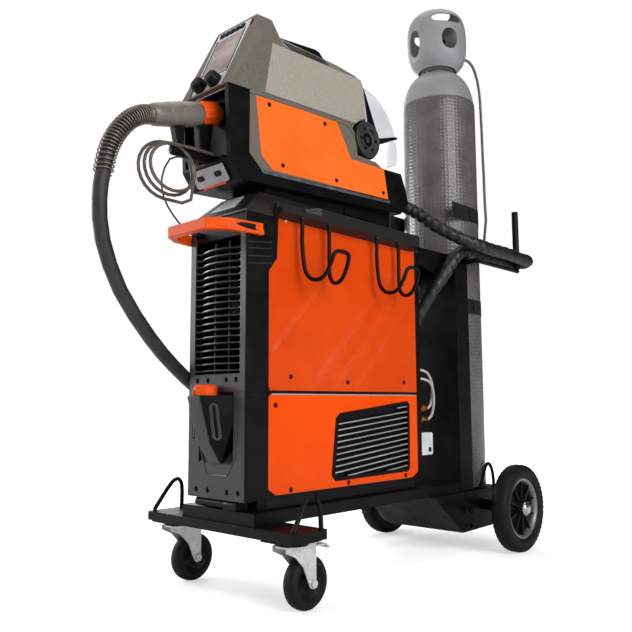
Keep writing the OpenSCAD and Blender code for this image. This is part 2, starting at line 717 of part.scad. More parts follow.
module feeder_base() color("#151517") on_feeder() {
    difference() {
        union() {
            side_prism(base_pts, -cheek, cheek);
            translate([hub_u, 0, hub_w]) both_sides() y_rod(hub_d + 8, cheek - 9, cheek);
        }
        side_prism(inner_pts, -cheek + 4, cheek - 4);
        // recess between the cheeks at the front
        side_prism([[-40, base_top + 1], [-40, 52], [-17, 50], [8, 50], [8, base_top + 1]],
            -cheek + 12, cheek - 12);
        translate([hub_u, 0, hub_w]) y_rod(hinge_d + 2 * run, -cheek - 1, cheek + 1);
    }
    // sloping lip plate with two slots
    color("#9a9aa0") difference() {
        side_prism([[-32.8, 41.7], [-9.5, 6.7], [-12, 5], [-35.3, 40]], -58, 58);
        for (y = [-30, 30]) translate([-22.4, y, 23]) rotate([0, -123.7, 0]) translate([0, 0, -4])
            linear_extrude(10) { translate([-5, 0]) circle(d = 14); translate([5, 0]) circle(d = 14);
                square([10, 14], center = true); }
    }
    // glands of the cable bundle, the control cable and the sense cable
    translate([0, bundle_y, bundle_w]) x_rod(bundle_d + 8, 605, 618);
    for (y = [control_y, 14, sense_y]) translate([0, y, front_gland_w]) x_rod(14, -8, 9);
    translate([8, 0, conn_w]) rotate([0, -conn_tilt - 90, 0]) translate([0, 0, -3]) cylinder(d = 54, h = 7);
}
// A point of the tilted feeder's side view, in the machine's frame
function in_machine(u, y, w) = [u * cos(feeder_tilt) - w * sin(feeder_tilt), y,
    feeder_z + u * sin(feeder_tilt) + w * cos(feeder_tilt)];
conn_w = 174;
conn_tilt = 14;
bundle_y = -30;
bundle_w = 53;
control_y = -26;
sense_y = 34;
front_gland_w = 63;
hinge_d = 20;

module feeder_side_panels() color("#f5640f") on_feeder() both_sides()
    side_prism(panel_pts, cheek, cheek + panel_t);

hump_pts = [[-35, base_top + gap], [-23, 224], [72, 408], [119, 409], [142, 374], [142, base_top + gap]];
hood_pts = [[128, base_top + gap], [128, 373], [348, 366], [414, 359], [434, 328],
    [hub_u + 2, hub_w + hub_d / 2 + 6], [386, base_top + gap]];
hump_in = [[-18, base_top - 1], [-12, 226], [78, 398], [112, 399], [134, 366], [134, base_top - 1]];
hood_in = [[130, base_top - 1], [130, 364], [344, 358], [408, 352], [446, 326], [446, 100],
    [340, base_top - 1]];

// Outline hulled from a narrow top to the full width below the chamfer
module faceted(pts, inset, chamfer_z) hull() {
    side_prism(pts, -cheek + 15 + inset, cheek - 15 - inset);
    side_prism([for (p = pts) [p[0], min(p[1], chamfer_z)]], -cheek + gap + inset, cheek - gap - inset);
}

module feeder_cover() color("#8a857c") on_feeder() difference() {
    union() {
        faceted(hump_pts, 0, 345);
        faceted(hood_pts, 0, 345);
    }
    faceted(hump_in, 4, 338);
    faceted(hood_in, 4, 338);
    // hand gap under the grip
    box(158, 330, -24, 24, 338, 420);
    // clears the hinge covers
    translate([hub_u, 0, hub_w]) y_rod(hub_d + 12, -cheek - 1, cheek + 1);
    // seat of the control pad
    pad_frame() translate([-5, -pad_w / 2 - gap, -pad_t + pad_proud - gap])
        cube([pad_l + 6, pad_w + 2 * gap, 40]);
}

module carry_grip() color("#1a1a1b") on_feeder()
    side_prism([[146, 374.3], [160, 398], [325, 398], [350, 372], [350, 366.4], [331, 367],
        [318, 384], [168, 384], [157, 372.4], [148, 372.6]], -17, 17);

module spool_cover() color("#d9dde0") on_feeder() translate([hub_u, 0, hub_w]) {
    arc = [for (a = [-14:6:112]) a];
    side_prism(concat([for (a = arc) drum_r * [cos(a), sin(a)]],
        [for (k = [len(arc) - 1:-1:0]) (drum_r - 2.5) * [cos(arc[k]), sin(arc[k])]]), -72, 72);
    both_sides() difference() {
        side_prism(concat([[0, 0]], [for (a = [16:6:112]) (drum_r - 1) * [cos(a), sin(a)]]), 69, 71.5);
        y_rod(hinge_d + 2 * run, 60, 80);
    }
}

module spool_hub() color("#202022") on_feeder() translate([hub_u, 0, hub_w]) difference() {
    union() {
        y_rod(50, -52, 52);
        y_rod(64, -52, -47);
    }
    y_rod(hinge_d + 2 * run, -60, 60);
}

module feed_unit() color("#2b2b2d") on_feeder() {
    box(40, 260, 20, 26, 12, 200);
    translate([130, 0, 80]) y_rod(64, 26, 78);
    translate([130, 0, 80]) y_rod(roll_shaft, -14, 20);
    // pressure arm with its roller and tension knob
    translate([130, 0, press_w]) {
        y_rod(press_d, 0, 14);
        y_rod(10, 14, 20);
        box(-40, 40, 2, 12, press_d / 2 - 1, press_d / 2 + 12);
        translate([-38, 7, press_d / 2 + 12]) cylinder(d = 16, h = 30);
    }
    // spindle that carries the spool hub and the hinged covers
    translate([hub_u, 0, hub_w]) {
        y_rod(hinge_d, -cheek, cheek);
        both_sides() y_rod(hub_d, cheek, cheek + 5);
    }
}
roll_shaft = 10;
roll_d = 38;
press_d = 34;
press_w = 80 + roll_d / 2 + press_d / 2 + 0.8;

module drive_roll() color("#b08d3c") on_feeder() translate([130, 0, 80]) difference() {
    y_rod(roll_d, 0, 14);
    y_rod(roll_shaft + 2 * run, -1, 15);
}

// ---------- control pad, drawn flat and leaned on the cover ----------

pad_t = 16;
pad_proud = 4.5;
pad_lean = atan2(184, 95);
knob_x = 15;
knob_y = 25;
key_w = 12;
module pad_frame() { translate([-23, 0, 219]) rotate([0, -pad_lean, 0]) children(); }
module on_pad() { on_feeder() pad_frame() translate([0, 0, pad_proud - pad_t]) children(); }

module control_pad() color("#5c5d60") on_pad() difference() {
    translate([0, -pad_w / 2, 0]) cube([pad_l, pad_w, pad_t]);
    box(48, pad_l - 30, -pad_w / 2 + 10, pad_w / 2 - 10, pad_t - 1, pad_t + 1);
    for (y = [-knob_y, knob_y]) translate([knob_x, y, 6]) cylinder(d = 8 + 2 * run, h = pad_t);
    for (k = [-2:2]) translate([pad_l - 20, 18 * k - key_w / 2, pad_t - 4])
        cube([10, key_w, 5]);
}

module pad_knob(y) color("#17181a") on_pad() translate([knob_x, y, 0]) {
    translate([0, 0, 8]) cylinder(d = 8, h = pad_t + gap - 8);
    translate([0, 0, pad_t + gap]) cylinder(d = knob_d, h = 19);
}
module pad_knob_left() { pad_knob(knob_y); }
module pad_knob_right() { pad_knob(-knob_y); }

module pad_buttons() color("#101112") on_pad() for (k = [-2:2])
    box(pad_l - 20 + gap, pad_l - 10 - gap, 18 * k - key_w / 2 + gap, 18 * k + key_w / 2 - gap,
        pad_t - 2.2, pad_t + 2);

// ---------- gun, its connector and cable ----------

module on_connector() {
    on_feeder() translate([8, 0, conn_w]) rotate([0, -conn_tilt, 0]) rotate([0, -90, 0]) children();
}
nut_l = 56;
tube_l = 193;

module gun_connector() color("#3b3d40") on_connector() {
    rotate_extrude() polygon([[0, 4], [16, 4], [16, nut_l + 6.5], [25, nut_l + 8.5], [19, tube_l],
        [0, tube_l]]);
}

module locking_nut() color("#f0571a") on_connector() difference() {
    union() {
        translate([0, 0, 12]) cylinder(d = nut_d - 4, h = nut_l - 6);
        for (k = [0:11]) rotate([0, 0, 30 * k]) translate([nut_d / 2 - 4, -3, 14]) cube([4, 6, nut_l - 18]);
    }
    translate([0, 0, 5]) cylinder(d = 32 + 2 * run, h = nut_l + 2);
}

coil_x = 470;
coil_y = 139;
coil_z = 525;
coil_step = 36;
coil_grow = 42;

// Centre line of the cable from the connector down to the coil, then from the coil to the gun
conn_end = in_machine(8 - tube_l * cos(conn_tilt), 0, conn_w - tube_l * sin(conn_tilt));
conn_dir = unit(conn_end - in_machine(8, 0, conn_w));
spring_path = [conn_end, conn_end + 22 * conn_dir, [-232, 4, 994], [-258, 7, 960], [-275, 10, 920],
    [-284, 12, 870]];
drop_path = [[-284, 12, 870], [-286, 18, 817], [-266, 35, 742], [-208, 60, 650], [-112, 92, 560],
    [-30, 114, 500], [50, 120, 446], [160, 120, 388], [260, 120, 362], [340, 121, 352],
    [395, 129, 348], [coil_x - gun_d - 8, coil_y, coil_z - coil_r]];
coil_top = coil_z + coil_r + coil_grow;
coil_in = [coil_x - gun_d, coil_y, coil_z - coil_r];
coil_out = [coil_x - gun_d, coil_y + coil_step, coil_top];
gun_x = 108;
gun_y = 160;
gun_z = 556;
tail_path = [coil_out, coil_out - [20, 0, 0], [380, 170, coil_top - 1], [320, 164, 738],
    [250, 158, 728], [196, 154, 723], [160, 155, 713], [128, 158, 682], [112, 160, 630],
    [gun_x, gun_y, 575], [gun_x, gun_y, gun_z]];
spring_line = curve(spring_path, 6);

function spring_point(s) = let (m = len(spring_line) - 1, i = min(floor(s * m), m - 1), f = s * m - i)
    spring_line[i] * (1 - f) + spring_line[i + 1] * f;
spring_r = gun_d / 2 + spring_wire / 2 + 1.8;
spring_pts = [for (k = [0:8 * spring_n]) let (s = 0.02 + 0.96 * k / (8 * spring_n),
    t = unit(spring_point(min(s + 0.02, 1)) - spring_point(max(s - 0.02, 0))),
    n = unit(cross(t, [0, 1, 0])), b = cross(t, n), a = 45 * k)
    spring_point(s) + spring_r * (cos(a) * n + sin(a) * b)];

module bend_spring() color("#6f6a62") place() tube(spring_pts, spring_wire / 2, 6);

module gun_cable() color("#242426") place() {
    tube(concat([spring_path[0]], curve([for (i = [1:5]) spring_path[i]], 2),
        [for (i = [1:11 * 2]) curve(drop_path, 2)[i]], [coil_in]), gun_d / 2, 10);
    tube(tail_path, gun_d / 2, 10);
}

coil_turns = 1.5;
coil_pts = [for (k = [0:24 * coil_turns]) let (a = -90 + 15 * k, u = k / (24 * coil_turns))
    [coil_x, coil_y + coil_step * u, coil_z] + (coil_r + coil_grow * u) * [cos(a), 0, sin(a)]];

module gun_cable_coil() color("#242426") place()
    tube(concat([coil_in], coil_pts, [coil_out]), gun_d / 2, 6);

module at_gun() { place() translate([gun_x, gun_y, gun_z]) rotate([180, 0, 0]) children(); }

module welding_gun() color("#2f3032") at_gun() {
    difference() {
        translate([0, 0, 0]) hull() {
            cylinder(d = gun_d + 8, h = 20, $fn = 24);
            translate([0, 0, 150]) cylinder(d = 30, h = 4, $fn = 24);
        }
        box(4, 40, -trigger_w / 2 - gap, trigger_w / 2 + gap, 96, 136);
    }
    translate([trigger_x + 3, 0, 104]) y_rod(trigger_pin, -trigger_w / 2 - 2, trigger_w / 2 + 2);
    translate([0, 0, 154]) cylinder(d = 20, h = 26);
    color("#b98a3e") translate([0, 0, 180]) tube([for (k = [0:5]) [60 - 60 * cos(9 * k), 0,
        60 * sin(9 * k)]], 8, 10);
    color("#c9a24e") translate([60 - 60 * cos(45), 0, 180 + 60 * sin(45)]) rotate([0, 45, 0]) difference() {
        cylinder(d = 22, h = 60);
        translate([0, 0, 4]) cylinder(d = 16, h = 60);
    }
}
trigger_w = 12;
trigger_x = 7;
trigger_pin = 3;

module gun_trigger() color("#e0561c") at_gun() translate([trigger_x, 0, 100]) difference() {
    box(0, 13, -trigger_w / 2, trigger_w / 2, 0, 30);
    translate([3, 0, 4]) y_rod(trigger_pin + 2 * run, -trigger_w, trigger_w);
}

// ---------- thin cables at the front ----------

loop_turns = 2.5;
loops_pts = [for (k = [0:24 * loop_turns]) let (a = 90 + 15 * k, u = k / (24 * loop_turns))
    [-138 + (58 + 10 * u) * cos(a), control_y + 40 * u, 912 + (48 + 14 * u) * sin(a)]];
control_start = in_machine(-8, control_y, front_gland_w);
loops_in = [control_start, in_machine(-20, control_y, front_gland_w), [-60, control_y, 963], [-100, control_y, 962]];
loops_out = [[-90, 14, 850], [-66, 14, 862], [-60, 14, 900], [-56, 14, 935], [-46, 14, 958],
    in_machine(-22, 14, front_gland_w), in_machine(-8, 14, front_gland_w)];

module control_loops() color("#4a423c") place()
    tube(concat(loops_in, loops_pts, loops_out), control_d / 2, 6);

sense_path = [in_machine(-8, sense_y, front_gland_w), in_machine(-22, sense_y, front_gland_w),
    [-70, 34, 962], [-108, 36, 950], [-124, 42, 905], [-112, 50, 865], [-84, 58, 836], [-50, 64, 812],
    [-24, 66, 800], [-12, 66, 800]];

module sense_cable() color("#1b1b1c") place() {
    tube(sense_path, sense_d / 2, 8);
    translate([0, 66, 800]) x_rod(13, -12, 4);
}

// Printed gaps between the turns of each wound form, and the length of each cord
echo(spring_gap = least_gap(spring_pts, 6, spring_wire),
    coil_gap = least_gap(coil_pts, 14, gun_d),
    loops_gap = least_gap(loops_pts, 14, control_d));
echo(gun_length = path_length(concat(spring_line, drop_path, [coil_in], coil_pts, [coil_out], tail_path)),
    control_length = path_length(concat(loops_in, loops_pts, loops_out)),
    sense_length = path_length(sense_path));

// ---------- gas cylinder ----------

neck_d = 64;
shell_z = deck_z + gap;
dome_z = shell_z + cyl_wall_h;
neck_z = dome_z + cyl_dome_h;

wall_t = 7;
function dome(off) = [for (a = [0:10:80]) [neck_d / 2 + (cyl_d / 2 - neck_d / 2) * cos(a) - off,
    dome_z + cyl_dome_h * sin(a) - off]];
function flipped(v) = [for (i = [len(v) - 1:-1:0]) v[i]];

// Hollow shell with an open neck and a foot ring
module gas_cylinder() color("#7a7b7d") place() translate([cyl_x, 0, 0]) {
    r = cyl_d / 2;
    rotate_extrude($fn = 96) polygon(concat([[0, shell_z + 8], [r - 22, shell_z + 8], [r - 12, shell_z],
        [r - 4, shell_z], [r, shell_z + 8]], dome(0), [[neck_d / 2, neck_z], [neck_d / 2, neck_z + 22], [10, neck_z + 22],
        [10, neck_z - 6]], flipped(dome(wall_t)), [[r - wall_t, shell_z + 22], [0, shell_z + 22]]));
}

guard_z = neck_z + 10;
hole_d = 46;

module valve_guard() color("#b4b6b8") place() translate([cyl_x, 0, guard_z]) difference() {
    r = guard_d / 2;
    h = guard_h;
    t = 5;
    rotate_extrude($fn = 96) polygon([[neck_d / 2 + 0.1, 0], [r - 34, 0], [r - 12, 26], [r - 2, 60], [r, 100],
        [r - 2, 140], [r - 9, 176], [r - 26, h - 8], [r - 44, h], [r - 50, h], [r - 50, h - t],
        [r - 30, h - t - 8], [r - 9 - t, 174], [r - 2 - t, 138], [r - t, 100], [r - 2 - t, 60],
        [r - 14 - t, 28], [r - 36, t + 4], [neck_d / 2 + 0.1, t + 4]]);
    for (a = [54, 158, 234, 338]) rotate([0, 0, a]) translate([0, 0, 70]) x_rod(hole_d, r - 30, r + 10);
    for (a = [49, 229]) rotate([0, 0, a]) translate([r - 30, -30, 132]) cube([60, 60, 20]);
}

module cylinder_valve() color("#b5903f") place() translate([cyl_x, 0, neck_z + 22]) {
    cylinder(d = 34, h = 40);
    translate([0, 0, 40]) cylinder(d = 26, h = 40);
    translate([0, 0, 80]) cylinder(d = 10, h = 24);
    rotate([0, 0, valve_a]) translate([0, 0, 62]) {
        x_rod(22, 13, 56);
        x_rod(12, 56, outlet_r);
    }
}

valve_a = -22;
outlet_r = 70;

module handwheel() color("#23262a") place() translate([cyl_x, 0, neck_z + 22 + 84]) difference() {
    union() {
        cylinder(d = 22, h = 18);
        linear_extrude(14) polygon([for (a = [0:6:354]) (25.5 + 3.5 * cos(5 * a)) * [cos(a), sin(a)]]);
    }
    translate([0, 0, -1]) cylinder(d = 10 + 2 * run, h = 22);
}

outlet_z = neck_z + 84;
function outlet(r) = [cyl_x + r * cos(valve_a), r * sin(valve_a), outlet_z];
gas_in = [body_l + 6, 60, 600];
gas_path = [outlet(outlet_r), outlet(outlet_r + 12), [1012, -46, 1545], [1036, -44, 1490],
    [1050, -36, 1380], [1052, -16, 1200], [1050, 10, 1050], [1042, 60, 900], [1000, 124, 812],
    [900, 146, 765], [820, 142, 705], [776, 134, 665], [720, 98, 625], [680, 64, 602], gas_in + [14, 0, 0], gas_in];

echo(gas_length = path_length(gas_path));

module gas_hose() color("#2a2522") place() tube(gas_path, gas_d / 2, 8);

bundle_end_y = -15;
bundle_path = [in_machine(618, bundle_y, bundle_w), in_machine(634, bundle_y, bundle_w),
    [body_l + 24, -50, 972], [body_l + 48, -85, 944], [body_l + 72, -124, 910], [upright_x - 44, -168, 880],
    [upright_x + 2, -196, 864], [upright_x + 60, -203, 860], [940, -204, 860], [arm_x - 34, -203, 858], [arm_x + 12, -202, 857],
    [arm_x + 28, -190, 856], [arm_x + loop_r + 3, -173, 855], [arm_x + 28, -156, 855],
    [arm_x + 12, -144, 854], [arm_x - 34, -143, 854], [930, -143, 854], [upright_x + 50, -143, 855],
    [upright_x + 6, -142, 854], [upright_x - 28, -136, 830], [body_l + 90, -120, 780], [body_l + 64, -92, 724],
    [body_l + 50, -58, 664], [body_l + 50, -30, 610], [body_l + 42, bundle_end_y, 582], [body_l + 26, bundle_end_y, 570], [body_l + 6, bundle_end_y, 570]];

module cable_bundle() color("#161617") place() tube(bundle_path, bundle_d / 2, 10);

cart_frame();
front_crossmember();
axle_bracket();
cylinder_upright();
cylinder_straps();
caster_fork_near();
caster_fork_far();
caster_wheel_near();
caster_wheel_far();
brake_pedal();
rear_wheel_near();
rear_wheel_far();
fasteners();
cooler_case();
cooler_front();
cooler_side_panels();
cooler_grilles();
coolant_tank();
filler_cap();
coolant_circuit();
cooler_fan();
power_case();
power_side_panels();
front_grille();
front_handle();
top_cover();
rear_panel();
main_switch();
power_modules();
main_fan();
side_rails();
cable_hooks();
feeder_mount();
feeder_base();
feeder_side_panels();
feeder_cover();
carry_grip();
spool_cover();
spool_hub();
feed_unit();
drive_roll();
control_pad();
pad_knob_left();
pad_knob_right();
pad_buttons();
gun_connector();
locking_nut();
bend_spring();
gun_cable();
gun_cable_coil();
welding_gun();
gun_trigger();
control_loops();
sense_cable();
gas_cylinder();
valve_guard();
cylinder_valve();
handwheel();
gas_hose();
cable_bundle();
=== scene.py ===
from math import atan2, cos, degrees, pi, radians, sin, sqrt, tanh, tau

import bmesh
import bpy
from mathutils import Matrix, Vector


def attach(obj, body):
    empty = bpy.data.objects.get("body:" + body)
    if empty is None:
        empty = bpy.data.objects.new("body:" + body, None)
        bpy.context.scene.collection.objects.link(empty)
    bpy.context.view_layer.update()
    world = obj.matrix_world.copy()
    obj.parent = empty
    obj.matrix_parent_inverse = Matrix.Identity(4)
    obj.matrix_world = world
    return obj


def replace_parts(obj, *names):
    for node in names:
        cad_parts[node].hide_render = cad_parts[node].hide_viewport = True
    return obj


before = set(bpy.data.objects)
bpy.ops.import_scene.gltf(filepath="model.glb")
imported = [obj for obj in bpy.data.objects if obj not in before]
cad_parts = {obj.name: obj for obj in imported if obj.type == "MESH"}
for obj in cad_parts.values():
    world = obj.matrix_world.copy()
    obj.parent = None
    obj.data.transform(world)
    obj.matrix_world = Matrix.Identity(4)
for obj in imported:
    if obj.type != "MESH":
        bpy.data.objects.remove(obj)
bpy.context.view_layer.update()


# ---------- camera ----------
# A plain camera at eye height beside the front left corner, looking slightly up along the machine.
# Everything below is placed in the machine's own millimetres, x = 0 at its front face.

front_face = 513.5
# each side's sign along y and its word in the names of pieces
both_sides = (-1, "near"), (1, "far")


def at(x, y, z):
    return Vector(((x - front_face) / 1000, y / 1000, z / 1000))


turn, rise, lean = (radians(angle) for angle in (43.136, 6.724, -0.234))
ahead = Vector((cos(rise) * cos(turn), cos(rise) * sin(turn), sin(rise)))
level_right = Vector((sin(turn), -cos(turn), 0))
level_up = level_right.cross(ahead)
camera_right = cos(lean) * level_right + sin(lean) * level_up
camera_up = cos(lean) * level_up - sin(lean) * level_right
camera = bpy.data.objects.new("camera", bpy.data.cameras.new("camera"))
camera.data.sensor_width = 36
camera.data.lens = 41.16
camera.data.shift_x = 0.00146
camera.data.shift_y = 0.00247
camera.data.clip_start = 0.01
camera.matrix_world = Matrix.Translation(at(-1010.9, -1244.7, 416.9)) @ Matrix(
    (camera_right, camera_up, -ahead)).transposed().to_4x4()
bpy.context.scene.collection.objects.link(camera)
bpy.context.scene.camera = camera


# ---------- studio ----------
# A matt white floor and soft boxes round the object; the floor keeps the shadow under the wheels,
# and the white room is what the camera and the glossy parts see.

def linear(colour):
    """An sRGB hex colour as the linear colour that the shaders take."""
    parts = [int(colour[i:i + 2], 16) / 255 for i in (1, 3, 5)]
    return [p / 12.92 if p <= 0.04045 else ((p + 0.055) / 1.055) ** 2.4 for p in parts] + [1]


def add(tree, kind, inputs={}, **settings):
    """Adds one shader node with its settings, its links and its sockets' values."""
    new = tree.nodes.new("ShaderNode" + kind)
    for name, value in settings.items():
        setattr(new, name, value)
    for name, value in inputs.items():
        if isinstance(value, bpy.types.NodeSocket):
            tree.links.new(value, new.inputs[name])
        else:
            new.inputs[name].default_value = value
    return new


bpy.context.scene.view_settings.view_transform = "Standard"
room = bpy.data.worlds.new("white room")
bpy.context.scene.world = room
room.use_nodes = True
tree = room.node_tree
tree.nodes.clear()
eye = add(tree, "LightPath")
seen = add(tree, "Math", {0: eye.outputs["Is Camera Ray"], 1: eye.outputs["Is Transmission Ray"]},
           operation="MAXIMUM")
# white wall on the far left, falling off to a dim corner on the right
wall = add(tree, "NewGeometry")
facing = add(tree, "VectorMath", {0: wall.outputs["Incoming"], 1: (0.74, -0.66, -0.1)},
             operation="DOT_PRODUCT")
bright = add(tree, "MapRange", {"Value": facing.outputs["Value"], "From Min": -0.45, "From Max": 0.95,
                                          "To Min": 0.06, "To Max": 0.85})
level = add(tree, "MapRange", {"Value": seen.outputs[0], "To Min": bright.outputs["Result"], "To Max": 1.0})
sky = add(tree, "Background", {"Color": linear("#ffffff"), "Strength": level.outputs["Result"]})
add(tree, "OutputWorld", {"Surface": sky.outputs[0]})

# Matt white paint: diffuse, lifted to white where the camera sees it, and more so away from the cart
paint = bpy.data.materials.new("matt white floor paint")
paint.use_nodes = True
tree = paint.node_tree
tree.nodes.clear()
eye = add(tree, "LightPath")
matt = add(tree, "BsdfDiffuse", {"Color": linear("#e9e9e9")})
spot = add(tree, "NewGeometry")
away = add(tree, "VectorMath", {0: spot.outputs["Position"]}, operation="LENGTH")
lift = add(tree, "MapRange", {"Value": away.outputs["Value"], "From Min": 0.7, "From Max": 2.4,
                                         "To Min": 0.5, "To Max": 1.0})
glow = add(tree, "Emission", {"Color": linear("#ffffff"), "Strength": lift.outputs["Result"]})
both = add(tree, "AddShader", {0: matt.outputs[0], 1: glow.outputs[0]})
shown = add(tree, "MixShader", {0: eye.outputs["Is Camera Ray"], 1: matt.outputs[0], 2: both.outputs[0]})
add(tree, "OutputMaterial", {"Surface": shown.outputs[0]})
shell = bmesh.new()
bmesh.ops.create_grid(shell, x_segments=1, y_segments=1, size=30)
floor = bpy.data.objects.new("floor", bpy.data.meshes.new("floor"))
shell.to_mesh(floor.data)
floor.data.materials.append(paint)
bpy.context.scene.collection.objects.link(floor)

for name, place, aim, size, watts in (
        ("key", (-1.2, -4.2, 2.4), (0, 0, 0.8), 2.2, 128),
        ("front", (-3.4, 3.6, 1.7), (-0.5, 0, 0.9), 2.0, 34),
        ("overhead", (0.6, 0.4, 4.6), (0, 0, 1), 3.0, 45),
        ("back", (2.6, 3.4, 2.4), (0, 0, 0.9), 2.4, 60),
        ("left strip", (-1.3, 4.0, 1.5), (0.4, 0, 1.1), 1.0, 60),
        ("low", (0.4, -3.6, 0.9), (0, 0, 0.5), 1.4, 26)):
    lamp = bpy.data.objects.new(name, bpy.data.lights.new(name, "AREA"))
    lamp.data.size = size
    lamp.data.energy = watts
    lamp.location = place
    lamp.rotation_euler = (Vector(aim) - Vector(place)).to_track_quat("-Z", "Y").to_euler()
    bpy.context.scene.collection.objects.link(lamp)


# ---------- cart frame ----------
# Welded sheet and tube under the machine: two long cheeks, cross-members and the caster plates,
# with a front crossmember that carries the tray feet. Mild steel, blasted and powder-coated black.

def surfaced(name, pale, dark, patch, rough, grain, depth, metallic=0.0, ior=1.5, rounding=1.2,
             stretch=(1, 1, 1), shine=0.5, **more):
    """A finish that drifts between two colours over patches of so many mm, with a grain of so many mm
    that stands so deep, softened edges, and a roughness that varies with the patches."""
    made = bpy.data.materials.new(name)
    made.use_nodes = True
    tree = made.node_tree
    tree.nodes.clear()
    where = add(tree, "TexCoord").outputs["Object"]
    run = add(tree, "Mapping", {"Vector": where, "Scale": stretch}).outputs[0]
    drift = add(tree, "TexNoise", {"Vector": run, "Scale": 1000 / patch, "Detail": 4.0, "Roughness": 0.6})
    tint = add(tree, "ValToRGB", {"Fac": drift.outputs["Fac"]})
    tint.color_ramp.elements[0].position = 0.34
    tint.color_ramp.elements[0].color = linear(dark)
    tint.color_ramp.elements[1].position = 0.66
    tint.color_ramp.elements[1].color = linear(pale)
    gloss = add(tree, "MapRange", {"Value": drift.outputs["Fac"], "From Min": 0.3, "From Max": 0.7,
                                   "To Min": rough[0], "To Max": rough[1]})
    fine = add(tree, "TexNoise", {"Vector": run, "Scale": 1000 / grain, "Detail": 2.0})
    edge = add(tree, "Bevel", {"Radius": rounding / 1000}, samples=3)
    relief = add(tree, "Bump", {"Height": fine.outputs["Fac"], "Distance": depth / 1000, "Strength": 1.0,
                                "Normal": edge.outputs[0]})
    shader = add(tree, "BsdfPrincipled", {
        "Base Color": tint.outputs[0], "Roughness": gloss.outputs["Result"], "Normal": relief.outputs[0],
        "Metallic": metallic, "IOR": ior, "Specular IOR Level": shine, **more})
    add(tree, "OutputMaterial", {"Surface": shader.outputs[0]})
    return made


def dress(finish, *nodes):
    """Gives these CAD nodes their finish."""
    for name in nodes:
        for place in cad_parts[name].material_slots:
            place.material = finish


# Powder coat cured on blasted steel: a fine orange-peel that breaks the highlights of a satin black
coated_steel = surfaced("powder-coated black steel", "#0e0e0f", "#080809", 40, (0.34, 0.5), 1.6, 0.05, shine=0.14)
dress(coated_steel, "cart_frame", "front_crossmember")


# ---------- casters ----------
# Two heavy swivel casters with zinc-plated pressed forks, a kingpin and a hex bolt through the hub.
# The solid tyres are moulded black rubber on a black nylon core; the near one has a brake pedal.

# Zinc plate: bright grey metal with a soft crystalline cloudiness
zinc = surfaced("zinc-plated steel", "#dfe1e2", "#c3c6c8", 14, (0.26, 0.42), 0.9, 0.02, metallic=0.45)
# Moulded rubber: matt, nearly black, a little grey where it has rolled
rubber = surfaced("moulded tyre rubber", "#161515", "#0d0d0d", 22, (0.5, 0.7), 1.4, 0.1, shine=0.2)
# Glass-filled nylon: nearly black with a flat grain
nylon = surfaced("moulded black nylon", "#141415", "#0b0b0c", 30, (0.36, 0.5), 1.0, 0.03, shine=0.15)
dress(zinc, "caster_fork_near", "caster_fork_far", "brake_pedal")


def fit(name, shell, finish, rounding=0.8, body="chassis", facets=35, steps=2):
    """Makes one piece from a shell of faces, rounds its sharp edges, and fixes it to a body."""
    bmesh.ops.remove_doubles(shell, verts=shell.verts, dist=1e-6)
    bmesh.ops.recalc_face_normals(shell, faces=shell.faces)
    piece = bpy.data.objects.new(name, bpy.data.meshes.new(name))
    shell.to_mesh(piece.data)
    shell.free()
    piece.data.materials.append(finish)
    bpy.context.scene.collection.objects.link(piece)
    for face in piece.data.polygons:
        face.use_smooth = True
    piece.data.set_sharp_from_angle(angle=radians(facets))
    if rounding:
        soften = piece.modifiers.new("soften", "BEVEL")
        soften.width = rounding / 1000
        soften.segments = steps
        soften.limit_method = "ANGLE"
        soften.angle_limit = radians(facets)
    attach(piece, body)
    return piece


def turned(shell, profile, place, sides=48):
    """Adds a form turned on a lathe: (along, radius) pairs, put in place by place(along, a, b)."""
    rings = []
    for along, radius in profile:
        if radius < 1e-4:
            rings.append([shell.verts.new(place(along, 0, 0))])
        else:
            rings.append([shell.verts.new(place(along, radius * cos(tau * k / sides),
                                                radius * sin(tau * k / sides)))
                          for k in range(sides)])
    for first, second in zip(rings, rings[1:]):
        for k in range(sides):
            corners = [first[k % len(first)], first[(k + 1) % len(first)],
                       second[(k + 1) % len(second)], second[k % len(second)]]
            corners = list(dict.fromkeys(corners))
            if len(corners) > 2:
                shell.faces.new(corners)


def cut(shell, outline, low, high, place):
    """Adds a plate cut to an outline of (a, b) pairs and as thick as low to high, by place(a, b, c)."""
    ends = [[shell.verts.new(place(a, b, c)) for a, b in outline] for c in (low, high)]
    shell.faces.new(ends[0])
    shell.faces.new(ends[1])
    for k in range(len(outline)):
        j = (k + 1) % len(outline)
        shell.faces.new([ends[0][k], ends[0][j], ends[1][j], ends[1][k]])


def alone(form, *shape):
    """A new shell with one turned or cut form in it."""
    shell = bmesh.new()
    form(shell, *shape)
    return shell


def mirrored(half):
    """A profile that is the same on both sides of the wheel's middle, from its first half."""
    return half + [(-along, radius) for along, radius in reversed(half)]


def hexagon(across, a=0, b=0):
    """The outline of a hexagon this wide across its flats."""
    return [(a + across / sqrt(3) * cos(tau * k / 6),
             b + across / sqrt(3) * sin(tau * k / 6)) for k in range(6)]


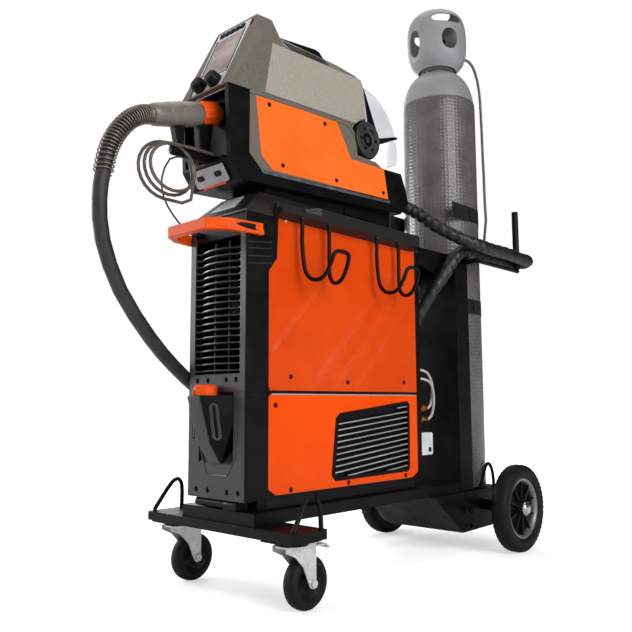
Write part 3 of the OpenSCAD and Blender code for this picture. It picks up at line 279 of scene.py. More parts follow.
caster_x, caster_y, caster_radius = 85, 188, 55
for side, word in both_sides:
    def hub(along, a, b):
        return at(caster_x + a, side * caster_y + along, caster_radius + b)

    shell = alone(turned, mirrored([(-11, 34), (-16, 38), (-16, 44), (-14, 50), (-9, 54), (-3, 55)]), hub, 64)
    fit(f"caster_tyre_{word}", shell, rubber, 0.6, body=f"{word}_caster_wheel", facets=50)
    shell = alone(turned, mirrored([(-14, 0), (-14, 9), (-12, 14), (-8, 16), (-8, 29), (-12, 33), (-12, 36)]), hub)
    core = fit(f"caster_core_{word}", shell, nylon, 0.6, body=f"{word}_caster_wheel", facets=50)
    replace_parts(core, f"caster_wheel_{word}")
    shell = bmesh.new()
    for end in (-1, 1):
        cut(shell, hexagon(15), end * 22.2, end * 28, lambda a, b, c: hub(c, a, b))
        turned(shell, [(end * 20.5, 0), (end * 20.5, 10.5), (end * 22.2, 10.5), (end * 22.2, 0)], hub, 32)
    fit(f"caster_bolts_{word}", shell, zinc, 0.5, body=f"{word}_swivel")


# ---------- rear wheels ----------
# Solid tyres on spoked rims that turn on one axle; the hubs have pressed chrome caps.
# The rim is die-cast and coated black, with a turned bright ring beside the tyre.

# Chrome plate on a pressed steel cap: mirror-like, a few fine scuffs
chrome = surfaced("chrome-plated steel", "#d6d8da", "#c3c5c8", 30, (0.08, 0.2), 2.0, 0.01, metallic=1.0)
# Silver lacquer on the rim's edge ring: pale, satin
lacquer = surfaced("silver-lacquered rim", "#8b8d8f", "#707274", 14, (0.3, 0.42), 1.2, 0.02, metallic=0.6)

axle_x, wheel_y, wheel_radius = 905, 233, 120
treads, spokes = 48, 10
for side, word in both_sides:
    def hub(along, a, b):
        return at(axle_x + a, side * (wheel_y + along), wheel_radius + b)

    body = f"{word}_rear_wheel"
    shell = alone(turned, [(-16, 82), (-21, 86), (-23.5, 94), (-24, 104), (-22.5, 108), (-21, 112), (-16, 117.5),
        (-8, 119.6), (0, 120), (8, 119.6), (16, 117.5), (21, 112), (22.5, 108), (24, 104), (23.5, 94), (21, 86),
        (16, 82)], hub, 96)
    # tread blocks cut across both shoulders
    for k in range(treads):
        for flank in (-1, 1):
            reach = Matrix.Rotation(tau * (k + (flank > 0) * 0.5) / treads, 3, "Y")

            def block(a, b, c):
                spot = reach @ Vector((c, 0, b))
                return hub(a, spot.x, spot.z)

            cut(shell, [(flank * 7, 118.6), (flank * 16.5, 116), (flank * 21, 111.4), (flank * 22.6, 108),
                (flank * 23.2, 108.6), (flank * 21.8, 112.6), (flank * 17, 118), (flank * 7, 120.4)], -2.6, 2.6,
                block)
    fit(f"tyre_{word}", shell, rubber, 0, body=body, facets=40)
    shell = alone(turned, mirrored([(-16.5, 83), (-17.5, 79), (-15, 75), (-5, 71)]), hub, 96)
    fit(f"rim_ring_{word}", shell, lacquer, 0.5, body=body, facets=50)
    shell = alone(turned, mirrored([(-24, 12), (-24, 19), (-20, 22), (-4, 24), (-3, 73)]), hub, 64)
    for k in range(spokes):
        reach = Matrix.Rotation(tau * k / spokes, 3, "Y")

        def spoke(a, b, c):
            spot = reach @ Vector((b, 0, a))
            return hub(c, spot.x, spot.z)

        cut(shell, [(20, -3.4), (76, -1.9), (76, 1.9), (20, 3.4)], -13, 13, spoke)
    wheel = fit(f"wheel_{word}", shell, coated_steel, body=body, facets=45)
    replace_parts(wheel, f"rear_wheel_{word}")
    shell = alone(turned, [(22, 19.5), (26, 19), (30, 16), (32, 11), (33, 5), (33.2, 0)], hub, 40)
    fit(f"hub_cap_{word}", shell, chrome, 0.4, body=body, facets=60)


# ---------- axle bracket and upright ----------
# The rear of the cart: a bent bracket over the axle, the platform for the cylinder, and the upright
# that the cylinder is strapped to. Black powder-coated sheet; the platform is rolled in a grid.

def crossed(finish, pitch, depth, strength, turn=0):
    """Gives a finish two crossing sets of ribs, so many mm apart and so deep."""
    tree = finish.node_tree
    where = add(tree, "TexCoord").outputs["Object"]
    run = add(tree, "Mapping", {"Vector": where, "Rotation": (0, 0, radians(turn))}).outputs[0]
    waves = [add(tree, "TexWave", {"Vector": run, "Scale": 100 * pi / pitch}, bands_direction=axis)
             for axis in "XZ"]
    ribs = add(tree, "Math", {0: waves[0].outputs["Fac"], 1: waves[1].outputs["Fac"]}, operation="MAXIMUM")
    relief = next(n for n in tree.nodes if n.bl_idname == "ShaderNodeBump")
    under = add(tree, "Bump", {"Height": ribs.outputs[0], "Distance": depth / 1000, "Strength": strength,
                               "Normal": relief.inputs["Normal"].links[0].from_socket})
    tree.links.new(under.outputs[0], relief.inputs["Normal"])


# Powder coat over rolled grid sheet: the ribs stand 0.5 mm proud on an 8 mm pitch
grid_steel = coated_steel.copy()
grid_steel.name = "powder-coated grid sheet"
crossed(grid_steel, 8, 0.5, 0.7)
dress(grid_steel, "axle_bracket")
dress(coated_steel, "cylinder_upright")


# ---------- cooling unit ----------
# The lower box of the machine: a folded sheet case with a radiator and fan inside, a moulded front,
# a filler tank that sticks out, and orange side panels with a louvred intake on each side.

# Moulded ABS, spark-eroded in the tool: satin black with a fine even grain
black_abs = surfaced("moulded black ABS", "#0b0b0c", "#060607", 50, (0.32, 0.48), 1.1, 0.04, shine=0.14)
# The same resin in grey, a little glossier where it is handled
grey_abs = surfaced("moulded grey ABS", "#353436", "#2a292b", 45, (0.32, 0.46), 1.2, 0.04)
# Polyester powder coat in signal orange on steel sheet: bright, smooth, faint orange-peel; the power
# unit's copy is a shade deeper than the cooler's, painted shade for the shadow of the rails above
orange_coat = surfaced("powder-coated orange steel", "#f25000", "#e74800", 160, (0.26, 0.38), 2.4, 0.02,
    rounding=0.8, shine=0.14)
shaded_coat = surfaced("powder-coated orange steel, painted shade", "#dc4601", "#d13f00", 160, (0.26, 0.38), 2.4, 0.02,
    rounding=0.8, shine=0.3)
# Glass-filled orange moulding: the same colour, duller and softer at its edges
orange_abs = surfaced("moulded orange nylon", "#f2560a", "#e04a05", 30, (0.34, 0.5), 1.1, 0.03,
    rounding=2.0, shine=0.2)
# Mill-finished aluminium: drawn lines along the fins
aluminium = surfaced("mill-finish aluminium", "#c9cacb", "#a9abac", 16, (0.28, 0.44), 0.7, 0.02, metallic=0.5,
    stretch=(0.1, 1, 1))
dress(coated_steel, "cooler_case", "power_case")
dress(grey_abs, "cooler_front")
dress(orange_abs, "filler_cap")
# The radiator is painted shade: black, so its fins stay dark behind the louvres
dress(surfaced("radiator in painted shade", "#1a1b1c", "#0d0e0e", 3, (0.4, 0.56), 0.9, 0.04, shine=0.2),
    "coolant_circuit")
dress(black_abs, "cooler_fan", "coolant_tank")


def upright_plate(x, z, y):
    """A place on a plate that stands along the machine."""
    return at(x, y, z)


def bridge(shell, rings, ends=()):
    """Joins each ring of corners to the next, and closes the rings named as ends."""
    for first, second in zip(rings, rings[1:]):
        for k in range(len(first)):
            shell.faces.new([first[k - 1], first[k], second[k], second[k - 1]])
    for k in ends:
        shell.faces.new(rings[k])


def cut_open(shell, outline, hole, low, high, place):
    """Adds a plate with an opening cut through it."""
    loops = []
    for c in (low, high):
        edges = []
        for line in (outline, hole):
            spots = [shell.verts.new(place(a, b, c)) for a, b in line]
            loops.append(spots)
            edges += [shell.edges.new((spots[k - 1], spots[k])) for k in range(len(spots))]
        bmesh.ops.triangle_fill(shell, use_beauty=True, edges=edges)
    bridge(shell, loops[0::2])
    bridge(shell, loops[1::2])


intake = [(284, 234), (570, 237), (578, 246), (580, 412), (570, 420), (302, 392), (286, 380), (270, 247)]
mouth = [(288, 243), (566, 246), (570, 250), (571, 406), (567, 411), (304, 383.5), (295, 376), (280, 250)]
louvre_pitch, louvre_slope = 14, 0.095
for side, word in both_sides:
    def outward(x, z, out):
        return at(x, side * (94 + out), z)

    shell = alone(cut_open, [(89, 219), (591, 219), (617, 233), (617, 435), (71, 435), (67, 427), (67, 233)],
        intake, 0, 2, outward)
    lower = fit(f"lower_panel_{word}", shell, orange_coat, 0.6)
    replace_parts(lower, *(["cooler_side_panels"] if side < 0 else []))
    shell = alone(cut_open, intake, mouth, 0, 5, outward)
    border = fit(f"intake_frame_{word}", shell, black_abs, 1.0)
    if side < 0:
        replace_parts(border, "cooler_grilles")
    lips, blades = bmesh.new(), bmesh.new()
    for k in range(-2, 13):
        foot = 238 + louvre_pitch * k
        run = [x for x in range(276, 574, 2)
               if max(243, 250 - (x - 280) * 0.8) < foot + (x - 276) * louvre_slope
               and foot + 5 + (x - 276) * louvre_slope < min(383.5 + (x - 304) * 0.1046, 376 + (x - 295) * 0.83)
               and x > 280 + (foot - 250) * 0.12]
        if len(run) > 8:
            (x0, z0), (x1, z1) = [(x, foot + (x - 276) * louvre_slope) for x in (run[0], run[-1])]
            for part, bottom, top, back, front in ((blades, 1.6, 5.2, -10, 0.6), (lips, -1.2, 1.6, -3, 3.0)):
                cut(part, [(x0, z0 + bottom), (x1, z1 + bottom), (x1, z1 + top), (x0, z0 + top)],
                    back, front, outward)
    fit(f"intake_lips_{word}", lips, aluminium, 0.3)
    fit(f"intake_blades_{word}", blades, black_abs, 0.3)
    # a pale strip along the lower panel's top edge: painted highlight on its lip
    shell = alone(cut, [(76, 434.6), (615, 434.6), (615, 437.4), (76, 437.4)], 0, 2.6, outward)
    fit(f"seam_highlight_strip_{word}", shell, aluminium, 0.5)


def rounded(points, steps=6):
    """A smooth line through these points, as a closely spaced list."""
    pts = [Vector(p) for p in points]
    line = []
    for k in range(len(pts) - 1):
        before, here, after, later = pts[max(k - 1, 0)], pts[k], pts[k + 1], pts[min(k + 2, len(pts) - 1)]
        for step in range(steps):
            t = step / steps
            line.append(0.5 * (2 * here + (after - before) * t + (2 * before - 5 * here + 4 * after - later) * t ** 2
                               + (3 * here - before - 3 * after + later) * t ** 3))
    return line + [pts[-1]]


def strung(name, line, diameter, finish, body="chassis", sides=6):
    """Makes a rod or cord of this diameter along a line of places in the machine's millimetres."""
    data = bpy.data.curves.new(name, "CURVE")
    data.dimensions = "3D"
    data.bevel_depth = diameter / 2000
    data.bevel_resolution = sides
    data.use_fill_caps = True
    run = data.splines.new("POLY")
    run.points.add(len(line) - 1)
    for point, place in zip(run.points, line):
        point.co = (*at(*place), 1)
    run.use_smooth = True
    data.materials.append(finish)
    piece = bpy.data.objects.new(name, data)
    bpy.context.scene.collection.objects.link(piece)
    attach(piece, body)
    return piece


# The bucket's nose is painted light: a grey skin over the black tank, bent under into its chin, lighter as its lit
# face
shell = bmesh.new()
rings = [[shell.verts.new(at(x - out, y, z)) for out, y in ((0, -21.4), (0, 21.4), (2.2, 19.4), (2.2, -19.4))]
         for x, z in ((-60, 432.6), (-60, 427), (-30.6, 330), (-1.6, 287.6))]
bridge(shell, rings, (0, -1))
fit("tank_lit_face", shell, grey_abs)

# Finger slot framed on each flank of the bucket, a sloping floor below it, a rib round the
# recess, rubber skids under the case, and the bar and block that latch the machine to the tray
for side, word in both_sides:
    def flank(along, across, out):
        x = -36.5 + along * 0.11 + across * 0.84 + out * 0.52
        return at(x, side * (35.4 + (along * 0.11 + across * 0.84) * 0.617 + out * 0.84), 412 - along)

    half_turn = [pi * k / 10 - pi / 2 for k in range(11)]
    rim = [(4 - 9 * cos(t), 9 * sin(t)) for t in half_turn]
    rim += [(64 + 9 * cos(t), -9 * sin(t)) for t in half_turn]
    slot = [(4 + (a - 4) * 0.6 if a < 34 else 64 + (a - 64) * 0.6, b * 0.5) for a, b in rim]
    shell = alone(cut_open, rim, slot, -1.5, 2.4, flank)
    fit(f"tank_slot_{word}", shell, grey_abs)
shell = alone(cut, [(0.4, 288), (46, 350), (46, 340), (4, 288)], -57.6, 57.6, upright_plate)
fit("recess_floor", shell, grey_abs)
strung("recess_rib", rounded([(0.6, 62, 400), (0.6, 62, 344), (0.6, 30, 262), (0.6, -38, 262), (0.6, -66, 304),
    (0.6, -66, 400)], 1), 4.4, grey_abs)
shell = bmesh.new()
for side in (-1, 1):
    cut(shell, [(66, 191.4), (606, 191.4), (606, 213), (66, 213)], side * 80, side * 91, upright_plate)
fit("case_skids", shell, rubber, 1.5)
strung("latch_bar", [(12, 72, 202), (12, -28, 202)], 19, coated_steel, sides=10)
shell = alone(cut, [(-1, 192), (24, 192), (24, 206), (16, 211), (4, 211), (-1, 206)], -70, -28, upright_plate)
fit("latch_block", shell, black_abs, 2.0)


# ---------- power unit ----------
# The welding power source on top: folded case, moulded front corner posts, a barred air intake and
# side panels pressed with long diagonal creases. A bar handle is moulded in orange.

panel_left, panel_right, panel_foot, roof, half_width = 67.3, 617, 444, 832, 96
panel_columns, panel_rows = 110, 78
left_edge = [(96, roof), (92, 738.2), (panel_left, 707), (panel_left, 454), (71, panel_foot)]


def left_of(z):
    """Where the panel's left edge lies at this height."""
    for (x0, z0), (x1, z1) in zip(left_edge, left_edge[1:]):
        if z1 <= z <= z0:
            return x0 + (x1 - x0) * (z0 - z) / (z0 - z1)
    return panel_left


def crease(x, z):
    """How far, in mm, the pressed panel stands out at a place."""
    folds = [(-900, 0), (-466, 0), (-446, 3.2), (-440, 0), (-264, 0), (-246, 4.2), (-238, 1.4), (-182, 0.8),
             (-168, 4.6), (-160, 1.2), (-106, 0.4), (-94, 3.4), (-88, 0), (900, 0)]
    line = x - z
    for (s0, out0), (s1, out1) in zip(folds, folds[1:]):
        if s0 <= line <= s1:
            out = out0 + (out1 - out0) * (line - s0) / (s1 - s0)
    fade = min(1, max(0, (z - 450) / 40)) * min(1, max(0, (816 - z) / 60)) * min(1, max(0, (608 - x) / 20))
    return out * fade * min(1, max(0, (x - 74) / 20))


for side, word in both_sides:
    shell = bmesh.new()
    span = panel_right - panel_left
    columns = [panel_left + span * k / panel_columns for k in range(panel_columns + 1)]
    rows = [panel_foot + (roof - panel_foot) * k / panel_rows for k in range(panel_rows + 1)]
    grid = [[shell.verts.new(at(left + (x - panel_left) * (panel_right - left) / span,
                                side * (half_width + crease(x, z)), z))
             for x in columns] for z in rows for left in [left_of(z)]]
    for low_row, high_row in zip(grid, grid[1:]):
        for k in range(panel_columns):
            shell.faces.new([low_row[k], low_row[k + 1], high_row[k + 1]])
            shell.faces.new([low_row[k], high_row[k + 1], high_row[k]])
    rim = [e for e in shell.edges if len(e.link_faces) == 1]
    walls = bmesh.ops.extrude_edge_only(shell, edges=rim)
    for v in (g for g in walls["geom"] if isinstance(g, bmesh.types.BMVert)):
        v.co.y = side * 0.0942
    # the upper panels wear the deeper orange copy: painted shade
    upper = fit(f"upper_panel_{word}", shell, shaded_coat, 0, facets=25)
    if side < 0:
        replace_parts(upper, "power_side_panels")

dress(grey_abs, "front_grille")
# The roof is moulded in a darker, browner grey
roof_abs = surfaced("moulded charcoal ABS", "#282625", "#1e1c1b", 60, (0.3, 0.44), 1.4, 0.05, rounding=1.6)
dress(roof_abs, "top_cover")
dress(black_abs, "rear_panel", "main_fan")
# Painted winding packs and boards: a dull green-grey
dress(surfaced("varnished windings", "#7e8a7f", "#6a756c", 12, (0.4, 0.55), 2.0, 0.05), "power_modules")
# Signal-red switch knob
red_nylon = surfaced("moulded red nylon", "#b3201a", "#9c1a15", 20, (0.34, 0.46), 1.0, 0.03)
dress(red_nylon, "main_switch")

# Carrying handle: a bar bent round the front, with a lens-shaped finger slot in each arm, drawn as a black lens of
# painted shade
shell = alone(cut, [(40, -110), (36, -111), (-50, -98), (-88, -67), (-88, 67), (-50, 98), (36, 111), (40, 110),
    (44, 106), (44, 96.4), (-2, 96.4), (-42, 80), (-73, 58), (-73, -58), (-42, -80), (-2, -96.4), (44, -96.4),
    (44, -106)], 780.5, 806, at)
handle = fit("handle_bar", shell, orange_abs, 2.6, facets=30, steps=3)
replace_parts(handle, "front_handle")
for side, word in both_sides:
    def arm(x, z, out):
        return at(x, side * (98 + (x + 50) * 13 / 86 + out), z)

    # the finger slot's recess as a black lens: painted shade
    shell = alone(cut, [(-34, 795), (-22, 799.5), (-4, 801), (14, 800.5), (24, 799), (24, 788), (14, 787),
        (-4, 788), (-20, 791)], -1, 0.4, arm)
    fit(f"finger_slot_shade_{word}", shell, black_abs, 0.3)
    shell = alone(cut, [(16, 788.5), (23, 788.5), (23, 799), (16, 799.6)], -1, 1.2, arm)
    fit(f"finger_pad_{word}", shell, orange_abs)

# Pivot bosses of the handle, moulded in black
for side, word in both_sides:
    shell = alone(turned, [(95.6, 0), (95.6, 17.4), (109.4, 17.4), (112.2, 15), (112.2, 9.4), (110.8, 8.4),
        (110.8, 0)], lambda along, a, b: at(51 + a, side * along, 798 + b), 40)
    fit(f"handle_boss_{word}", shell, black_abs, 0.5)

# Blank rating plate: satin anodised aluminium in the recess of the sloping cover
plate_metal = surfaced("satin anodised plate", "#e3e4e5", "#d3d5d7", 26, (0.3, 0.42), 0.8, 0.01, metallic=0.2)


def on_slope(a, b, c):
    """A place on the roof's front slope: a mm up it, b mm across, c mm out."""
    return at(2 + a * 0.729 - c * 0.684, b, 836 + a * 0.684 + c * 0.729)


shell = alone(cut, [(4, -58), (80, -42), (80, 42), (4, 58)], -1, 3.4, on_slope)
fit("plate_border", shell, roof_abs, 1.5)
shell = alone(cut, [(16, -40), (66, -34), (69, -30), (69, 30), (66, 34), (16, 40)], 3.4, 4.6, on_slope)
fit("rating_plate", shell, plate_metal, 0.4)

# Moulded grooves on the flank of the front corner, each a fine raised lip in grey: painted highlight along the
# groove
for side, word in both_sides:
    shell = bmesh.new()
    for z in (762, 748, 731, 715):
        cut(shell, [(5, z), (72, z + 8), (76, z + 12), (76, z + 14), (71, z + 10), (5, z + 2)], -0.5, 1.4,
            lambda x, z, out: at(x, side * (95.9 + out), z))
    fit(f"corner_groove_highlights_{word}", shell, grey_abs, 0.4)


# ---------- side rails and cable hooks ----------
# A folded rail along each roof edge with a coarse textured powder coat, and two bent-wire hooks
# that hang from bosses under it. Steel rod, powder-coated black.

# Coarse texture powder: a 2.2 mm leather-like pebble that stays dark and dull
pebbled = surfaced("coarse powder-coated rail", "#222123", "#0d0d0e", 3, (0.4, 0.6), 2.2, 0.3, shine=0.3)
dress(pebbled, "side_rails")
shell = bmesh.new()
for side in (-1, 1):
    for x, z in ((106, 846), (112, 837), (118, 828)):
        turned(shell, [(94, 3.4), (98, 3.4), (99.6, 2.4), (100, 0)],
            lambda along, a, b: at(x + a, side * along, z + b), 16)
fit("rail_screws", shell, zinc, 0.2)

bend = [(-46, 22, 2), (-46, 22, -20), (-46, 22, -60), (-42, 26, -113), (-38, 38, -134), (-33, 56, -140),
    (-30, 76, -132), (-28, 92, -108), (-25, 100, -87), (-14, 103, -79)]
bend += [(-x, y, z) for x, y, z in reversed(bend)]
for side, word in both_sides:
    for place, end in ((196, "front"), (470, "rear")):
        hook = strung(f"hook_{end}_{word}", rounded([(place + x, side * (half_width + y), roof + z)
            for x, y, z in bend], 5), 9.5, coated_steel, sides=5)
        if side < 0 and end == "front":
            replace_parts(hook, "cable_hooks")


# ---------- wire feeder ----------
# The wire drive rides on the roof, tilted up three degrees: a moulded tub on a welded mount, orange
# metal side panels, and a two-part lid in warm grey plastic that lifts from a hinge at the rear.

tilt, mount_top = radians(3), 900


def out_of(u, y, w):
    """A place given in the feeder's own level millimetres, as one in the machine's."""
    return (u * cos(tilt) - w * sin(tilt), y,
            mount_top + u * sin(tilt) + w * cos(tilt))


def feeder(u, y, w):
    """A place in the feeder's own level millimetres, put on the tilted mount."""
    return at(*out_of(u, y, w))


dress(coated_steel, "feeder_mount", "feed_unit")
dress(black_abs, "feeder_base", "spool_hub")
# The feeder's panels catch more light: the same coat with painted light, a lighter copy of it
dress(surfaced("powder-coated orange steel, painted light", "#fd6f26", "#f2631b", 160, (0.26, 0.38), 2.4, 0.02, rounding=0.8,
    shine=0.3), "feeder_side_panels")
# Brass: warm and bright where it was turned
brass = surfaced("turned brass", "#c9a04c", "#a9812f", 8, (0.2, 0.36), 0.8, 0.01, metallic=1.0)
dress(brass, "drive_roll")
# Warm grey ABS, moulded with a speckle of darker flakes about 3 mm apart
warm_abs = surfaced("speckled warm grey ABS", "#a7a297", "#8b867b", 3.2, (0.42, 0.56), 1.3, 0.05, rounding=2.2)
# The lid's front half is a darker copy of it, painted shade for its front facets in shadow; the borders are moulded
# in this darker shade
dark_and_shaded_abs = surfaced("speckled dark warm ABS with painted shade", "#6f6a60", "#5a554c", 3.2, (0.4, 0.54), 1.3, 0.05, rounding=2.2)
dress(dark_and_shaded_abs, "feeder_cover")
dress(black_abs, "carry_grip")

# Satin aluminium under each orange panel, whose border is the dark shade
strip_metal = surfaced("satin aluminium strip", "#a4a6a8", "#8b8d90", 20, (0.26, 0.4), 0.8, 0.01, metallic=0.9)
hinge_u, hinge_w, flank_y = 438, 183, 85
for side, word in both_sides:
    def cheek(u, w, out):
        return feeder(u, side * (flank_y + out), w)

    shell = alone(cut, [(28, 211), (372, 211), (392, 192), (398, 134), (474, 131), (504, 118), (517, 37), (86, 33),
        (58, 30), (20, 66)], -0.5, 1.2, cheek)
    fit(f"cheek_{word}", shell, dark_and_shaded_abs)
    shell = alone(cut, [(26, 211.4), (26, 204), (350, 204), (364, 201), (380, 184), (388, 188),
        (370, 211.4)], -0.5, 3.8, cheek)
    fit(f"cheek_ledge_{word}", shell, dark_and_shaded_abs, 1.4)
    shell = alone(cut, [(60, 26), (524, 26), (530, 33.5), (54, 33.5)], -0.5, 1.8, cheek)
    fit(f"cheek_strip_{word}", shell, strip_metal, 0.5)

    # hinge cover with six cap screws round a dished centre
    def hinge(along, a, b):
        return feeder(hinge_u + a, side * (flank_y + along), hinge_w + b)

    shell = alone(turned, [(-0.5, 48), (7.4, 48), (8.6, 46.8), (8.6, 43), (5.2, 41), (5.2, 39.6), (7.4, 38.4),
        (7.4, 21), (6.4, 20), (3.4, 17), (3.4, 9), (5.6, 8), (5.6, 0)], hinge, 72)
    fit(f"hinge_cover_{word}", shell, grey_abs, 0.6, facets=30)
    shell = bmesh.new()
    for k in range(6):
        a, b = 30 * cos(tau * k / 6), 30 * sin(tau * k / 6)
        turned(shell, [(6.8, 4.4), (9.2, 4.4), (9.8, 3.8), (9.8, 2.2), (8, 2), (8, 0)],
            lambda along, p, q, a=a, b=b: hinge(along, a + p, b + q), 18)
    fit(f"hinge_screws_{word}", shell, black_abs, 0.3)

    # pressed-out skin over each flank of the lid, and the hand opening in its shoulder as a black plate of painted
    # shade
    shell = alone(cut, [(74, 217), (103, 343), (424, 343), (434, 322), (437, 241), (420, 235),
        (396, 219)], -1.5, 2.0, cheek)
    fit(f"lid_skin_{word}", shell, warm_abs, 1.6, body="feeder_hood", steps=3)
    shell = alone(cut, [(150, 365), (168, 344.5), (300, 347), (290, 363)], -2, 0.7,
        lambda u, w, out: feeder(u, side * (flank_y - 15 * max(0, w - 345) / 28 + out), w))
    fit(f"hand_opening_shade_{word}", shell, black_abs, 0.3, body="feeder_hood")
shell = alone(cut, [(146, 372), (150, 380), (163, 396), (306, 407), (320, 404), (348, 380), (351, 369), (338, 367),
    (322, 384), (306, 394), (170, 384), (158, 372)], -38, 38, lambda u, w, y: feeder(u, y, w))
grip = fit("grip_bar", shell, black_abs, 3.0, body="feeder_hood", steps=3)
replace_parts(grip, "carry_grip")


# Sloping lip under the front recess: pale plate, two slots as black plates of painted shade, and an orange strip at
# its foot
def on_lip(along, y, out):
    """A place along the lip's slope from its top edge, in mm."""
    u, w = -34.2 + along * 0.5534 - out * 0.8329, 40.9 - along * 0.8329 - out * 0.5534
    return feeder(u, y, w)


# Satin grey paint on the lip plate
lip_paint = surfaced("satin-painted lip plate", "#a9aaae", "#97989c", 30, (0.3, 0.45), 1.1, 0.02)
shell = alone(cut, [(1, -56), (38, -56), (42, -50), (42, 50), (38, 56), (1, 56)], 1.4, 3.2, on_lip)
fit("lip_plate", shell, lip_paint, 0.5)
shell = bmesh.new()
for y in (-30, 30):
    cut(shell, [(20 + 6.6 * sin(tau * k / 24),
        y + 6.6 * cos(tau * k / 24) + (6 if -6 < k <= 6 or k > 18 else -6)) for k in range(24)], 2.6, 3.7,
        on_lip)
fit("lip_slot_shade", shell, black_abs, 0.2)
shell = alone(cut, [(41, -42), (47, -38), (47, 38), (41, 42)], 0.6, 2.6, on_lip)
fit("lip_strip", shell, orange_abs, 0.6)


# ---------- spool cover ----------
# A clear drum over the back half of the lid, blown from polycarbonate with a frosted inner face.
# It turns on the same hinge; a black moulded latch bar closes its front edge.

# Polycarbonate: the frost scatters most of the light and leaves a pale grey shell
frost = surfaced("frosted polycarbonate", "#eceef0", "#dde0e3", 90, (0.36, 0.5), 6, 0.0, ior=1.585, rounding=0.5,
    **{"Transmission Weight": 0.3})
# The same sheet left clear below the bar
clear = surfaced("clear polycarbonate", "#eef1f3", "#e6eaed", 90, (0.03, 0.08), 6, 0.0, ior=1.585, rounding=0.4,
    **{"Transmission Weight": 0.96})


def around(u, w, y):
    """A place round the hinge."""
    return feeder(hinge_u + u, y, hinge_w + w)


def arc(radius, *angles):
    """Places on a circle round the hinge, at a range of angles in degrees."""
    return [(radius * cos(radians(a)), radius * sin(radians(a))) for a in range(*angles)]


shell = bmesh.new()
inner = arc(149.5, 16, 113, 4)
cut(shell, arc(152, 16, 113, 4) + inner[::-1], -72, 72, around)
for side in (-1, 1):
    cut(shell, arc(50, 112, 15, -8) + inner, side * 69.6, side * 71.9, around)
drum = fit("spool_drum", shell, frost, 0.6, body="spool_cover", facets=20)
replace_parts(drum, "spool_cover")
shell = alone(cut, arc(151.6, -14, 15, 4) + arc(149.8, -14, 15, 4)[::-1], -71, 71, around)
fit("drum_window", shell, clear, 0.3, body="spool_cover", facets=20)
shell = bmesh.new()
for side in (-1, 1):
    cut(shell, [(50, 4), (48, 17), (146, 43), (154, 43.5), (153, 38)], side * 68, side * 74.5, around)
    cut(shell, [(12, 150), (25, 54), (55, 30), (60, 42)], side * 71, side * 74.5, around)
cut(shell, [(140, 40), (153, 43.5), (154.5, 38), (146, 36)], -74, 74, around)
fit("drum_bar", shell, black_abs, body="spool_cover")


# ---------- control pad ----------
# The leaning control panel in the lid's face: a pale moulded frame, a display window, two
# encoder knobs at its foot and five keys at its head. Each turns or presses on its own.

lean_back = atan2(184, 95)


def pad(a, y, out):
    """A place on the pad: a mm up its slope, out mm from its face."""
    raised = out - 11.5
    u = a * cos(lean_back) - raised * sin(lean_back)
    w = a * sin(lean_back) + raised * cos(lean_back)
    return feeder(u - 23, y, w + 219)


# Pale grey ABS frame, painted satin
pale_abs = surfaced("painted pale grey ABS", "#d8dadc", "#c6c9cc", 40, (0.26, 0.4), 1.2, 0.03)
dress(pale_abs, "control_pad")
# Glass over the display: a pale warm film behind a mirror-smooth face
window = surfaced("filmed display glass", "#b3a29a", "#7d6d69", 60, (0.05, 0.12), 8, 0.0, ior=1.52, rounding=0.4)
shell = alone(cut, [(48.6, -47.4), (169.4, -47.4), (169.4, 47.4), (48.6, 47.4)], 15.05, 15.7, pad)
fit("display_window", shell, window, 0.3, body="feeder_hood")
# dark bezels between the frame and the lid, down both long edges and round the window
shell = bmesh.new()
for side in (-1, 1):
    cut(shell, [(0, side * 58.6), (199, side * 58.6), (197, side * 69), (3, side * 73)], 11, 14.6, pad)
    cut(shell, [(44, side * 48.2), (173, side * 48.2), (176, side * 51), (41, side * 51)], 15.4, 16.9, pad)
cut(shell, [(41, -50), (44, -48), (44, 48), (41, 50)], 15.4, 16.9, pad)
fit("pad_bezels", shell, black_abs, 0.6, body="feeder_hood")
for side, word in ((-1, "right"), (1, "left")):
    def dial(along, a, b):
        return pad(15 + a, side * 25 + b, along)

    shell = bmesh.new()
    turned(shell, [(16.2, 12), (16.2, 18.6), (18, 19), (19.5, 18)], dial, 48)
    rim = []
    for along, size in ((19.5, 18.4), (34, 17), (38, 15.6), (39.2, 13.2)):
        rim.append([shell.verts.new(dial(along, size * (1 - 0.06 * (k % 2)) * cos(tau * k / 24),
                                         size * (1 - 0.06 * (k % 2)) * sin(tau * k / 24)))
                    for k in range(24)])
    bridge(shell, rim, [-1])
    cut(shell, [(6, -0.9), (12.6, -0.9), (12.6, 0.9), (6, 0.9)], 38.6, 39.9, lambda a, b, c: dial(c, a, b))
    knob = fit(f"knob_{word}", shell, black_abs, 0.5, body=f"{word}_knob", facets=28)
    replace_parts(knob, f"pad_knob_{word}")
shell = bmesh.new()
for k in range(-2, 3):
    cut(shell, [(180, 18 * k - 7), (191, 18 * k - 7), (192, 18 * k - 6), (192, 18 * k + 6), (191, 18 * k + 7),
        (180, 18 * k + 7), (179, 18 * k + 6), (179, 18 * k - 6)], 12, 19.4, pad)
keys = fit("pad_keys", shell, rubber, 1.0, body="pad_buttons")
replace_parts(keys, "pad_buttons")


# ---------- gun connector ----------
# A moulded tube that plugs into the feeder's central socket, held by a ribbed orange locking nut,
# with a spring of oil-hardened wire over the cable as a bend relief.

# Slate ABS tube: satin, handled smooth
slate_abs = surfaced("moulded slate ABS", "#736c65", "#625c56", 36, (0.26, 0.42), 1.2, 0.03)
mouth_at = Vector(out_of(8, 0, 174))
outward_line = Vector((-cos(radians(17)), 0, -sin(radians(17))))
crosswise = Vector((0, 1, 0))
upright = outward_line.cross(crosswise)


def connector(along, a, b):
    """A place so far out along the connector, a mm across it and b mm above its middle."""
    return at(*(mouth_at + along * outward_line + a * crosswise + b * upright))


